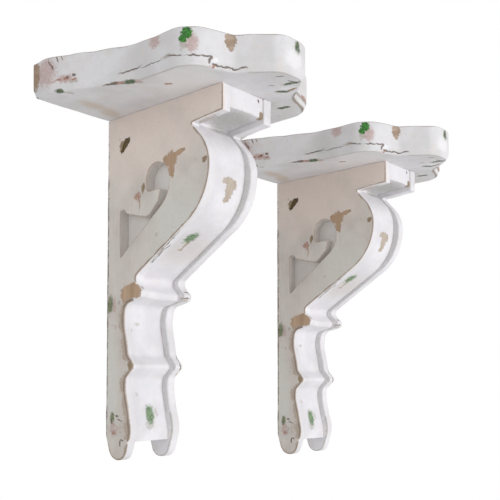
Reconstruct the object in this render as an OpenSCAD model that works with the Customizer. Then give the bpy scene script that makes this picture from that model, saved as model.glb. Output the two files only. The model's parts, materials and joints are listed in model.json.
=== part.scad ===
// Pair of wall shelves, each one a shaped board carried by a carved corbel bracket.
// Each corbel is a sandwich: two scroll-cut side panels glued and nailed to a
// narrower core, so the panels stand proud of it as a raised rim all the way down.
// +X runs along the wall, -Y comes out of the wall, +Z is up.
// The origin is midway between the two keyholes of the first shelf, on the wall.

/* [Pair] */
// Distance along the wall between the two corbel centre lines
pair_spacing = 245; // [235:1:600]
// How much lower the second shelf hangs than the first
pair_drop = 12; // [0:1:120]

/* [Shelf board] */
// Thickness of the board
board_thickness = 29.5; // [18:0.5:40]
// Full length of the board along the wall
board_length = 222; // [196:1:230]
// Distance from the wall to the tip of the rounded nose
board_depth = 197; // [182:1:230]
// Depth of the straight ends before the outline turns inwards
end_depth = 21; // [20:0.5:34]
// Half length of the board at the hollow of each front wing
wing_half_length = 79.5; // [70:0.5:84]
// Distance of that hollow from the wall
wing_depth = 95; // [84:0.5:102]
// Half length of the board at its front shoulders
shoulder_half_length = 78; // [72:0.5:88]
// Distance of the shoulders from the wall
shoulder_depth = 153.5; // [146:0.5:162]
// Half length of the board where the nose starts
nose_root_half_length = 39.5; // [32:0.5:44]
// Distance of the nose's root from the wall
nose_root_depth = 167; // [163:0.5:174]
// Half width of the nose at its tip
nose_half_width = 15; // [12:0.5:20]
// Corner radii of the outline, from the straight ends to the nose
board_radii = [26, 35, 26, 9, 20]; // [4:1:36]
// Height of the bevel round the lower edge
bevel_height = 6.5; // [2:0.5:10]
// How far the bevel cuts back from the edge
bevel_depth = 3.2; // [1:0.1:5]

/* [Corbel] */
// Full width of the corbel over both side panels
corbel_width = 61; // [48:0.5:90]
// Thickness of each side panel
panel_thickness = 9.5; // [6:0.5:14]
// How far the core stays behind the panels' front edges
core_recess = 6.5; // [3:0.5:9]
// How far the core's top block stays behind the panels' top block
block_recess = 1.5; // [0.5:0.5:4]
// How far the core's underside at the block stays above the panels'
soffit_lift = 5; // [2:0.5:8]
// How far the core ends above the panels' feet
core_rise = 16.5; // [12:0.5:24]

/* [Top block] */
// Distance of the block's front from the wall
block_depth = 146; // [135:0.5:152]
// Height of the block's front
block_height = 22; // [16:0.5:28]
// How much the block's underside falls towards the wall
soffit_fall = 3; // [0.5:0.5:6]
// Distance from the wall of the corner where the scroll leaves the block
heel_depth = 109; // [98:0.5:118]

/* [Scroll] */
// Distance of the scroll's belly from the wall
belly_depth = 130.5; // [118:0.5:142]
// Height of the neck between the block and the belly
neck_height = 23.5; // [20:0.5:32]
// Height of the belly's upright stretch
belly_height = 43; // [34:0.5:50]
// Radius above the belly
belly_top_radius = 36; // [20:1:40]
// Radius below the belly
belly_end_radius = 52; // [24:1:52]
// Height of the long slope from the belly back to the waist
slope_height = 56; // [48:0.5:62]
// Distance of the waist from the wall
waist_depth = 39; // [34:0.5:44]

/* [Beads and leg] */
// Height from the waist to the upper bead's nose
upper_bead_height = 14; // [12:0.1:18]
// How far the upper bead stands out from the waist
upper_bead_reach = 9.6; // [6:0.2:12]
// Height of the return under the upper bead
upper_bead_return = 9.9; // [8:0.1:13]
// Distance of the leg's hollow from the wall
leg_depth = 22; // [19:0.2:24]
// Height of the leg from that return to the lower bead's nose
leg_height = 56; // [48:0.5:70]
// How far the lower bead stands out from the leg
lower_bead_reach = 15.9; // [10:0.2:18]
// Distance from the wall of the hollow under the lower bead
ankle_depth = 25; // [20:0.2:26]
// Height from the lower bead's nose to that hollow
ankle_height = 20.5; // [17:0.5:25]
// Distance of the foot's widest point from the wall
foot_depth = 34; // [29:0.5:38]
// Height from the ankle's hollow to the foot's widest point
calf_height = 37; // [32:0.5:46]
// Height of the rounded foot under its widest point
foot_height = 26.5; // [24:0.5:36]
// Width of the foot's flat tip before its corners are rounded
tip_width = 18; // [14:0.5:22]
// Radius of the foot's rounded corners
tip_radius = 12; // [4:0.5:12]
// Distance of the tip from the wall
tip_depth = 7; // [2:0.5:8]
// Height of the slope from the tip up the panel's back edge
heel_slope = 22; // [8:0.5:24]

/* [Fretwork] */
// Distance from the wall of the cut-out's back edge
fret_back = 18.4; // [14:0.1:22]
// Height down to the cut-out's upper back corner
fret_top_drop = 87.5; // [82:0.5:92]
// Length of the cut-out's back edge
fret_back_length = 42.5; // [36:0.5:45]
// Distance from the wall of the hook's outer edge
fret_front = 83; // [74:0.5:86]
// Height down to the top of the hook
hook_drop = 51.2; // [44:0.2:54]
// Width of the hook's slot
hook_slot = 10.8; // [8:0.2:12]
// Length of the hook's bar along the top
hook_length = 28.8; // [24:0.2:32]
// Height of the hook from its top to the tip of its tail
hook_tail = 24; // [20:0.2:27]

/* [Joinery] */
// Diameter of the wooden dowels between core and board
dowel_diameter = 8; // [5:0.5:12]
// Length of each dowel
dowel_length = 38; // [26:1:44]
// How far each dowel stands up into the board
dowel_in_board = 15; // [10:0.5:16]
// Distance of the rear dowel from the wall
rear_dowel_depth = 34; // [28:0.5:44]
// How far the front dowel stays behind the corner under the block
front_dowel_inset = 26.5; // [18:0.5:36]
// Glue clearance round each dowel
dowel_clearance = 0.1; // [0.05:0.05:0.3]
// Diameter of the panel nails
nail_diameter = 1.6; // [1.2:0.1:2.2]
// Diameter of the nails' heads
nail_head_diameter = 2.8; // [2.4:0.1:4]
// Height of the nails' heads
nail_head_height = 1.2; // [0.8:0.1:2]
// Distance of the nails' tips from the middle of the core
nail_tip_gap = 2.5; // [1:0.5:8]
// How far the nail beside the belly stays behind the front edge
belly_nail_inset = 15; // [12:0.5:20]
// Distance of the top nail from the wall
top_nail_depth = 17; // [14:0.5:22]
// Clearance round the nails
nail_clearance = 0.05; // [0.02:0.01:0.1]

/* [Keyhole hangers] */
// Height from the board down to the upper keyhole
keyhole_drop = 50; // [44:1:60]
// Distance between the two keyholes
keyhole_spacing = 200; // [190:1:204]
// Radius of each keyhole's round entry
keyhole_radius = 4.5; // [3.5:0.1:5.5]
// Width of the slot above the entry
slot_width = 4.6; // [3:0.1:6]
// How far a screw slides up into the slot
slot_travel = 10; // [8:0.5:12]
// Width of the hanger plate
plate_width = 16; // [14:0.5:22]
// Height of the hanger plate
plate_height = 46; // [42:1:56]
// Thickness of the hanger plate
plate_thickness = 1.5; // [1:0.1:2.5]
// Corner radius of the hanger plate
plate_radius = 3; // [1:0.5:6]
// Play all round the plate in its recess
plate_clearance = 0.2; // [0.1:0.05:0.5]
// Depth of the pocket behind the plate that a screw's head moves in
pocket_depth = 5.5; // [4:0.5:7]
// Side play of a screw's head in that pocket
pocket_play = 1.5; // [1:0.1:2]
// Distance of the plate's screws from its ends
screw_inset = 5; // [4.5:0.1:6]
// Diameter of those screws
screw_diameter = 3; // [2.5:0.1:3.5]
// Diameter of their countersunk heads
screw_head_diameter = 6; // [5:0.1:7]
// Length of those screws
screw_length = 12; // [8:0.5:13]
// Clearance round those screws
screw_clearance = 0.05; // [0.02:0.01:0.1]

/* [Paint] */
// Colour of the board
board_color = "gainsboro";
// Colour of the core's front
core_color = "whitesmoke";
// Colour of the side panels
panel_color = "antiquewhite";
// Colour of the dowels
dowel_color = "burlywood";
// Colour of the nails and screws
fastener_color = "dimgray";
// Colour of the hanger plates
hanger_color = "silver";

/* [Hidden] */

$fn = 48;
// Largest turn of one step along a rounded corner
arc_step = 6;
// Extra length that carries a cut clear through a face
through = 1;

// The board's underside above the point midway between the keyholes
board_base = keyhole_drop + keyhole_spacing / 2;
core_width = corbel_width - 2 * panel_thickness;
nail_length = corbel_width / 2 - nail_tip_gap;
dowel_depths = [rear_dowel_depth, heel_depth - front_dowel_inset];

// Heights down from the board to each station of the corbel's front
heel_drop = block_height + soffit_fall;
belly_top_drop = heel_drop + neck_height;
belly_end_drop = belly_top_drop + belly_height;
waist_drop = belly_end_drop + slope_height;
upper_bead_drop = waist_drop + upper_bead_height;
leg_top_drop = upper_bead_drop + upper_bead_return;
lower_bead_drop = leg_top_drop + leg_height;
ankle_drop = lower_bead_drop + ankle_height;
foot_drop = ankle_drop + calf_height;
panel_height = foot_drop + foot_height;
core_height = panel_height - core_rise;

// Places of the nails on each panel: distance from the wall, height down.
// One in the block, one behind the belly, one between cut-out and slope,
// one in the leg and one in the foot.
nail_places = [
    [top_nail_depth, block_height - 1],
    [belly_depth - belly_nail_inset, belly_top_drop + belly_height / 5],
    [
        (fret_back + fret_front + belly_depth + waist_depth) / 4,
        (fret_top_drop + fret_back_length / 2 + (belly_end_drop + waist_drop) / 2) / 2
    ],
    [(leg_depth - core_recess) / 2, leg_top_drop + leg_height / 3],
    [(foot_depth - core_recess) / 2, foot_drop - 2]
];
left = -1;
right = 1;

// Points of one rounded corner at b, between the directions to a and c
function corner(a, b, c, r) =
    r == 0 ? [b] :
    let (
        u = (a - b) / norm(a - b),
        v = (c - b) / norm(c - b),
        half = acos(u * v) / 2,
        reach = r / tan(half),
        middle = b + (u + v) / norm(u + v) * r / sin(half),
        start = b + u * reach - middle,
        end = b + v * reach - middle,
        from = atan2(start[1], start[0]),
        raw = atan2(end[1], end[0]) - from,
        turn = raw > 180 ? raw - 360 : raw < -180 ? raw + 360 : raw,
        steps = max(2, ceil(abs(turn) / arc_step))
    )
    [for (i = [0:steps]) middle + r * [cos(from + turn * i / steps), sin(from + turn * i / steps)]];

// Length that rounding b by r takes from each of its two edges
function rounding_reach(a, b, c, r) =
    r == 0 ? 0 : r / tan(acos((a - b) * (c - b) / norm(a - b) / norm(c - b)) / 2);

// Outline through [x, y, radius] stations, each corner rounded by its radius.
// Where two roundings want more than the edge between them, both are limited to fit it.
function rounded(stations) =
    let (
        n = len(stations),
        at = [for (s = stations) [s[0], s[1]]],
        reach = [for (i = [0:n - 1])
            rounding_reach(at[(i + n - 1) % n], at[i], at[(i + 1) % n], stations[i][2])],
        room = [for (i = [0:n - 1])
            let (j = (i + 1) % n, wanted = reach[i] + reach[j])
            wanted == 0 ? 1 : min(1, norm(at[j] - at[i]) / wanted)]
    )
    [for (i = [0:n - 1])
        let (h = (i + n - 1) % n)
        each corner(at[h], at[i], at[(i + 1) % n], stations[i][2] * min(room[h], room[i]))];

// Front line shared by panel and core, from the block's heel to the ankle.
// back is how far it stays behind the panels' front, lift how far it is raised at the block.
function scroll_stations(back, lift) = [
    [heel_depth - back, -heel_drop + lift, 0],
    [belly_depth - back, -belly_top_drop + lift, belly_top_radius],
    [belly_depth - back, -belly_end_drop, belly_end_radius],
    [waist_depth - back, -waist_drop, 5],
    [waist_depth + 1.5 - back, -waist_drop - 0.43 * upper_bead_height, 6],
    [waist_depth + upper_bead_reach - back, -upper_bead_drop, 3],
    [waist_depth + upper_bead_reach - 2.1 - back, -upper_bead_drop - upper_bead_return / 2, 2.6],
    [leg_depth + 3.3 - back, -leg_top_drop, 9],
    [leg_depth - back, -leg_top_drop - 0.27 * leg_height, 34],
    [leg_depth + 4.6 - back, -leg_top_drop - 0.62 * leg_height, 30],
    [leg_depth + 6.8 - back, -leg_top_drop - 0.825 * leg_height, 9],
    [leg_depth + lower_bead_reach - back, -lower_bead_drop, 3.2],
    [ankle_depth + 1.2 - back, -lower_bead_drop - ankle_height / 2, 7],
    [ankle_depth - back, -ankle_drop, 30]
];

function panel_stations() = concat(
    [[0, 0, 0], [block_depth, 0, 0], [block_depth, -block_height, 0]],
    scroll_stations(0, 0),
    [
        [foot_depth, -foot_drop, 26],
        [tip_depth + tip_width, -panel_height, tip_radius],
        [tip_depth, -panel_height, tip_radius],
        [0, -panel_height + heel_slope, 14]
    ]
);

function core_stations() = concat(
    [
        [0, 0, 0],
        [block_depth - block_recess, 0, 0],
        [block_depth - block_recess, -block_height + soffit_lift, 0]
    ],
    scroll_stations(core_recess, soffit_lift),
    [
        [foot_depth - core_recess, -foot_drop, 26],
        [foot_depth - core_recess, -core_height, 0],
        [0, -core_height, 0]
    ]
);

function fret_stations() = [
    [fret_back, -fret_top_drop, 0.8],
    [fret_back + 4.5, -fret_top_drop + 1.7, 1.2],
    [fret_back + 9.4, -fret_top_drop - 3.1, 2.5],
    [fret_front - 27.5, -fret_top_drop - 10.1, 8],
    [fret_front - hook_slot - 1.8, -hook_drop - hook_tail - 9.4, 11],
    [fret_front - hook_slot, -hook_drop - hook_tail + 1.2, 1.5],
    [fret_front - hook_length, -hook_drop - hook_tail, 4],
    [fret_front - hook_length, -hook_drop, 12.5],
    [fret_front, -hook_drop, 15.5],
    [fret_front, -fret_top_drop + 5.7, 25],
    [fret_back, -fret_top_drop - fret_back_length, 1]
];

function board_half() = [
    [board_length / 2, 0, 0],
    [board_length / 2, -end_depth, board_radii[0]],
    [wing_half_length, -wing_depth, board_radii[1]],
    [shoulder_half_length, -shoulder_depth, board_radii[2]],
    [nose_root_half_length, -nose_root_depth, board_radii[3]],
    [nose_half_width, -board_depth, board_radii[4]]
];

function mirrored(stations) =
    [for (i = [len(stations) - 1:-1:0]) [-stations[i][0], stations[i][1], stations[i][2]]];

// The same stations with every edge but the last, at the wall, moved inwards by gap.
// Rounded corners grow or shrink with it, so both outlines stay parallel all round.
function inset(stations, gap) =
    let (
        n = len(stations),
        at = [for (s = stations) [s[0], s[1]]],
        inward = [for (i = [0:n - 1])
            let (run = at[(i + 1) % n] - at[i])
            [run[1], -run[0]] / norm(run)],
        move = [for (i = [0:n - 1]) i == n - 1 ? 0 : gap]
    )
    [for (i = [0:n - 1])
        let (
            h = (i + n - 1) % n,
            bend = inward[h][0] * inward[i][1] - inward[h][1] * inward[i][0],
            dx = (move[h] * inward[i][1] - move[i] * inward[h][1]) / bend,
            dy = (inward[h][0] * move[i] - inward[i][0] * move[h]) / bend,
            r = stations[i][2]
        )
        [at[i][0] + dx, at[i][1] + dy, r == 0 ? 0 : bend < 0 ? r - gap : r + gap]];

// Places a shelf's pieces, drawn with the board's underside at height 0
module hung(index) {
    translate([index * pair_spacing, 0, board_base - index * pair_drop]) children();
}

// Carries a side view drawn as (distance from the wall, height) across the corbel
module across(width) {
    rotate([90, 0, -90]) linear_extrude(width, center = true) children();
}

// Turns a piece drawn along +Z so that it runs out of the wall from its back
module out_of_wall() {
    rotate([90, 0, 0]) children();
}

// Sloping strip that widens the lower outline to the upper one, open along the wall
module bevel_strip(lower, upper, height) {
    n = len(lower);
    polyhedron(
        points = concat(
            [for (p = lower) [p[0], p[1], 0]],
            [for (p = upper) [p[0], p[1], height]],
            [for (p = lower) [p[0], p[1], height]]
        ),
        faces = concat(
            [for (i = [0:n - 2]) [i, i + 1, n + i + 1, n + i]],
            [for (i = [0:n - 2]) [n + i, n + i + 1, 2 * n + i + 1, 2 * n + i]],
            [for (i = [0:n - 2]) [2 * n + i, 2 * n + i + 1, i + 1, i]],
            [[0, n, 2 * n], [n - 1, 3 * n - 1, 2 * n - 1]]
        )
    );
}

module shelf_board() {
    stations = concat(board_half(), mirrored(board_half()));
    outline = rounded(stations);
    underside = rounded(inset(stations, bevel_depth));
    difference() {
        union() {
            translate([0, 0, bevel_height])
                linear_extrude(board_thickness - bevel_height) polygon(outline);
            linear_extrude(bevel_height) polygon(underside);
            bevel_strip(underside, outline, bevel_height);
        }
        for (d = dowel_depths)
            translate([0, -d, -through])
                cylinder(d = dowel_diameter + 2 * dowel_clearance, h = dowel_in_board + through);
    }
}

module shelf_dowels() {
    for (d = dowel_depths)
        translate([0, -d, dowel_in_board - dowel_length])
            cylinder(d = dowel_diameter, h = dowel_length);
}

module side_panel(side) {
    difference() {
        translate([side * (corbel_width - panel_thickness) / 2, 0, 0])
            across(panel_thickness)
                difference() {
                    polygon(rounded(panel_stations()));
                    polygon(rounded(fret_stations()));
                }
        nails(side, nail_clearance);
    }
}

// One side's nails, their heads flush with the panel; play widens them into their holes
module nails(side, play) {
    for (p = nail_places)
        translate([side * corbel_width / 2, -p[0], -p[1]])
            rotate([0, side * -90, 0]) {
                translate([0, 0, play > 0 ? -through : 0])
                    cylinder(d = nail_head_diameter + 2 * play,
                        h = nail_head_height + (play > 0 ? through : 0));
                cylinder(d = nail_diameter + 2 * play, h = nail_length + play);
            }
}

module core() {
    difference() {
        across(core_width) polygon(rounded(core_stations()));
        for (d = dowel_depths)
            translate([0, -d, dowel_in_board - dowel_length])
                cylinder(d = dowel_diameter + 2 * dowel_clearance, h = dowel_length);
        for (side = [left, right]) nails(side, nail_clearance);
        for (k = [0, 1]) hanger_seat(k);
        hanger_screws(screw_clearance);
    }
}

// Height of keyhole k's round entry: 0 is the upper one, 1 the lower one
function entry_height(k) = -keyhole_drop - k * keyhole_spacing;
// Height of hanger plate k's middle, with the keyhole centred in it
function plate_middle(k) = entry_height(k) + slot_travel / 2;

// Keyhole drawn as (x, height): a round entry with a narrower slot above it
module keyhole(entry_radius, slot_radius) {
    circle(entry_radius);
    translate([-slot_radius, 0]) square([2 * slot_radius, slot_travel]);
    translate([0, slot_travel]) circle(slot_radius);
}

// Plate outline drawn as (x, height) about its middle, grown by play
module plate_outline(play) {
    w = plate_width / 2 + play;
    h = plate_height / 2 + play;
    polygon(rounded([
        [w, h, plate_radius], [-w, h, plate_radius],
        [-w, -h, plate_radius], [w, -h, plate_radius]
    ]));
}

// What is cut from the core's back for one hanger: the plate's recess and the pocket
module hanger_seat(k) {
    pocket_radius = keyhole_radius + pocket_play;
    translate([0, through, plate_middle(k)])
        out_of_wall() linear_extrude(plate_thickness + through) plate_outline(plate_clearance);
    translate([0, 0, entry_height(k)])
        out_of_wall() linear_extrude(plate_thickness + pocket_depth)
            keyhole(pocket_radius, pocket_radius);
}

module hanger(k) {
    difference() {
        translate([0, 0, plate_middle(k)])
            out_of_wall() linear_extrude(plate_thickness) plate_outline(0);
        translate([0, through, entry_height(k)])
            out_of_wall() linear_extrude(plate_thickness + 2 * through)
                keyhole(keyhole_radius, slot_width / 2);
        hanger_screws(screw_clearance);
    }
}

// All four hanger screws, their countersunk heads flush with the plates
module hanger_screws(play) {
    for (k = [0, 1], end = [-1, 1])
        translate([0, 0, plate_middle(k) + end * (plate_height / 2 - screw_inset)])
            out_of_wall() {
                cylinder(d1 = screw_head_diameter + 2 * play, d2 = screw_diameter + 2 * play,
                    h = plate_thickness);
                cylinder(d = screw_diameter + 2 * play, h = screw_length + play);
            }
}

// The first shelf's pieces
module first_shelf_board() { color(board_color) hung(0) shelf_board(); }
module first_core() { color(core_color) hung(0) core(); }
module first_left_panel() { color(panel_color) hung(0) side_panel(left); }
module first_right_panel() { color(panel_color) hung(0) side_panel(right); }
module first_shelf_dowels() { color(dowel_color) hung(0) shelf_dowels(); }
module first_left_nails() { color(fastener_color) hung(0) nails(left, 0); }
module first_right_nails() { color(fastener_color) hung(0) nails(right, 0); }
module first_upper_hanger() { color(hanger_color) hung(0) hanger(0); }
module first_lower_hanger() { color(hanger_color) hung(0) hanger(1); }
module first_hanger_screws() { color(fastener_color) hung(0) hanger_screws(0); }

// The second shelf's pieces
module second_shelf_board() { color(board_color) hung(1) shelf_board(); }
module second_core() { color(core_color) hung(1) core(); }
module second_left_panel() { color(panel_color) hung(1) side_panel(left); }
module second_right_panel() { color(panel_color) hung(1) side_panel(right); }
module second_shelf_dowels() { color(dowel_color) hung(1) shelf_dowels(); }
module second_left_nails() { color(fastener_color) hung(1) nails(left, 0); }
module second_right_nails() { color(fastener_color) hung(1) nails(right, 0); }
module second_upper_hanger() { color(hanger_color) hung(1) hanger(0); }
module second_lower_hanger() { color(hanger_color) hung(1) hanger(1); }
module second_hanger_screws() { color(fastener_color) hung(1) hanger_screws(0); }

first_shelf_board();
first_core();
first_left_panel();
first_right_panel();
first_shelf_dowels();
first_left_nails();
first_right_nails();
first_upper_hanger();
first_lower_hanger();
first_hanger_screws();
second_shelf_board();
second_core();
second_left_panel();
second_right_panel();
second_shelf_dowels();
second_left_nails();
second_right_nails();
second_upper_hanger();
second_lower_hanger();
second_hanger_screws();
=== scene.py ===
"""Pair of worn white wall shelves, each a shaped board on a scroll-cut corbel.

+X runs along the wall, -Y comes out of it and +Z is up, in metres. Each piece is
drawn in millimetres in its own shelf's space, whose origin lies on the wall, on the
corbel's centre line and at the board's underside, and is then set in its place.
"""

from __future__ import annotations

import json
import logging
import math
from dataclasses import dataclass, field, replace
from enum import Enum
from typing import Callable, ClassVar, Sequence

import bpy
import numpy as np
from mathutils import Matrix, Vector
from mathutils.geometry import delaunay_2d_cdt

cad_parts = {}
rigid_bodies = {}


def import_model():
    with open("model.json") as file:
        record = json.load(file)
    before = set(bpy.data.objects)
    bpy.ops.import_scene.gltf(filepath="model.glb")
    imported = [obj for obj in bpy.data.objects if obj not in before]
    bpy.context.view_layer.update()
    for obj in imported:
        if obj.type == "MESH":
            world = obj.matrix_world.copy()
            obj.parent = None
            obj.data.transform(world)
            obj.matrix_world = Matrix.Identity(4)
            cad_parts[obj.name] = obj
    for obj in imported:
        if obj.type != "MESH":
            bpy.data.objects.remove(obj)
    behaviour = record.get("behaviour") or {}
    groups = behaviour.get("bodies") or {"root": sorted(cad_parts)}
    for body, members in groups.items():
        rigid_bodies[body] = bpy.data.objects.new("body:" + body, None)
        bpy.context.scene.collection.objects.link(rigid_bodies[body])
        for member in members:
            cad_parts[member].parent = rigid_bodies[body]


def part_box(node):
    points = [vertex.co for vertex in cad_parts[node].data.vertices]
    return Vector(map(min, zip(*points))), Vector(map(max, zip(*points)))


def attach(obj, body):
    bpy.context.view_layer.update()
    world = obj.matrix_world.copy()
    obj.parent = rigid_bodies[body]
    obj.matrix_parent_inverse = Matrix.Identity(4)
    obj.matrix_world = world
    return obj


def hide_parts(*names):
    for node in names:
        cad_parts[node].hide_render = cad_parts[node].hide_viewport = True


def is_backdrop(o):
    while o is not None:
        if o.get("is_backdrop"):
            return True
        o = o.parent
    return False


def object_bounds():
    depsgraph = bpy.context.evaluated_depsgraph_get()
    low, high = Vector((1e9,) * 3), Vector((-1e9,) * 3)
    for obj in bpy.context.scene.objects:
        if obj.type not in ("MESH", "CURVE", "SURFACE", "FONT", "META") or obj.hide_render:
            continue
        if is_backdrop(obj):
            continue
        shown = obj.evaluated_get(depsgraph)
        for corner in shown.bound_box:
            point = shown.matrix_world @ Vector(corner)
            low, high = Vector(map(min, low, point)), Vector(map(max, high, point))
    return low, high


LOG = logging.getLogger("wall_shelves")
MM = 0.001
Triple = tuple[float, float, float]

TINY = 1e-12  # least length that is divided by
SLACK = 1e-6  # room for rounding when places are compared
SAME_POINT = 1e-4  # points of a line that are closer are one
WELD = 2e-4  # spacing of the grid in which patches are matched
ARC_TURN = math.radians(18)  # the most that one part of an arc turns
LEAST_ARC_PARTS = 3
SHORT_OF_ROUND = 1e-3  # what a slot's corners lack of a half circle
LEAST_MITRE = 0.5  # least cosine of half a bend, so that mitres stay short
SHARP_EDGE = math.radians(48)  # bends above this are shaded as edges
STROKE_TURN = math.radians(-38)  # how far some brush strokes slant across the others


# ---------------------------------------------------------------- outlines


def unit(vectors: np.ndarray) -> np.ndarray:
    """Each row divided by its own length."""
    return vectors / np.maximum(np.linalg.norm(vectors, axis=-1, keepdims=True), TINY)


def round_corners(
    stations: Sequence[Triple], step: float, closed: bool = True
) -> np.ndarray:
    """Line through stations with each corner replaced by the arc that touches both its edges.

    The arc starts radius / tan(half the corner's angle) before the corner, and its
    centre lies on the bisector, radius / sin(half angle) from the corner. Where two
    arcs want more than the edge between them, both shrink in proportion. Straight
    runs and arcs are cut into equal parts no longer than step.

    Args:
        stations: (u, v, radius) of each corner in order.
        step: Longest part, in millimetres.
        closed: Whether the last corner joins the first. An open line starts at the
            arc of its second station and ends at the arc of its last but one.

    Returns:
        Points of the line, one (u, v) row each.
    """
    table = np.asarray(stations, float)
    at, radius = table[:, :2], table[:, 2]
    to_last, to_next = np.roll(at, 1, 0) - at, np.roll(at, -1, 0) - at
    u, v = unit(to_last), unit(to_next)
    half = 0.5 * np.arccos(np.clip((u * v).sum(1), -1, 1))
    reach = radius / np.tan(half)
    wanted = reach + np.roll(reach, -1)
    room = np.minimum(1, np.linalg.norm(to_next, axis=1) / np.maximum(wanted, TINY))
    radius = radius * np.minimum(room, np.roll(room, 1))
    reach = radius / np.tan(half)
    start, end = at + u * reach[:, None], at + v * reach[:, None]
    middle = at + unit(u + v) * (radius / np.sin(half))[:, None]
    first = np.arctan2(*(start - middle).T[::-1])
    turn = np.arctan2(*(end - middle).T[::-1]) - first
    turn = (turn + np.pi) % (2 * np.pi) - np.pi
    count = len(at)
    runs: list[np.ndarray] = []
    for i in range(count) if closed else range(1, count - 1):
        if radius[i] > 0:
            parts = max(
                LEAST_ARC_PARTS,
                math.ceil(abs(turn[i]) * radius[i] / step),
                math.ceil(abs(turn[i]) / ARC_TURN),
            )
            angle = first[i] + turn[i] * np.linspace(0, 1, parts + 1)
            runs.append(
                middle[i] + radius[i] * np.stack([np.cos(angle), np.sin(angle)], 1)
            )
        else:
            runs.append(at[i : i + 1])
        if closed or i < count - 2:
            gap = start[(i + 1) % count] - end[i]
            parts = max(1, math.ceil(float(np.linalg.norm(gap)) / step))
            runs.append(end[i] + gap * np.linspace(0, 1, parts + 1)[1:-1, None])
    line = np.concatenate(runs)
    apart = np.linalg.norm(line - np.roll(line, 1, 0), axis=1) > SAME_POINT
    if not closed:
        apart[0] = True
    return line[apart]


def outward(loop: np.ndarray) -> np.ndarray:
    """Directions out of a closed loop, to the right of its travel.

    Each is the mean direction of the two neighbouring edges turned by a quarter, and
    is lengthened by 1 / cos(half the bend), so that moved edges stay parallel.

    Args:
        loop: Points in order, with the material on the left of travel.

    Returns:
        One direction per point.
    """
    ahead = unit(np.roll(loop, -1, 0) - loop)
    along = unit(ahead + unit(loop - np.roll(loop, 1, 0)))
    stretch = 1 / np.maximum((ahead * along).sum(1, keepdims=True), LEAST_MITRE)
    return np.stack([along[:, 1], -along[:, 0]], 1) * stretch


def turned_left(loop: np.ndarray) -> np.ndarray:
    """The loop with its inside on the left of travel, by the sign of its area."""
    nxt = np.roll(loop, -1, 0)
    area = (loop[:, 0] * nxt[:, 1] - nxt[:, 0] * loop[:, 1]).sum()
    return loop if area > 0 else loop[::-1]


def stacked(line: np.ndarray, levels: np.ndarray) -> np.ndarray:
    """Grid of (u, v, w) with the same (u, v) line at each level w."""
    rows, columns = len(levels), len(line)
    flat = np.broadcast_to(line, (rows, columns, 2))
    rise = np.broadcast_to(levels[:, None, None], (rows, columns, 1))
    return np.concatenate([flat, rise], -1)


def circle(centre: tuple[float, float], radius: float, parts: int = 24) -> np.ndarray:
    """Points evenly round a circle, with its inside on the left of travel."""
    angle = np.arange(parts) * (2 * np.pi / parts)
    return np.asarray(centre) + radius * np.stack([np.cos(angle), np.sin(angle)], 1)


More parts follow.
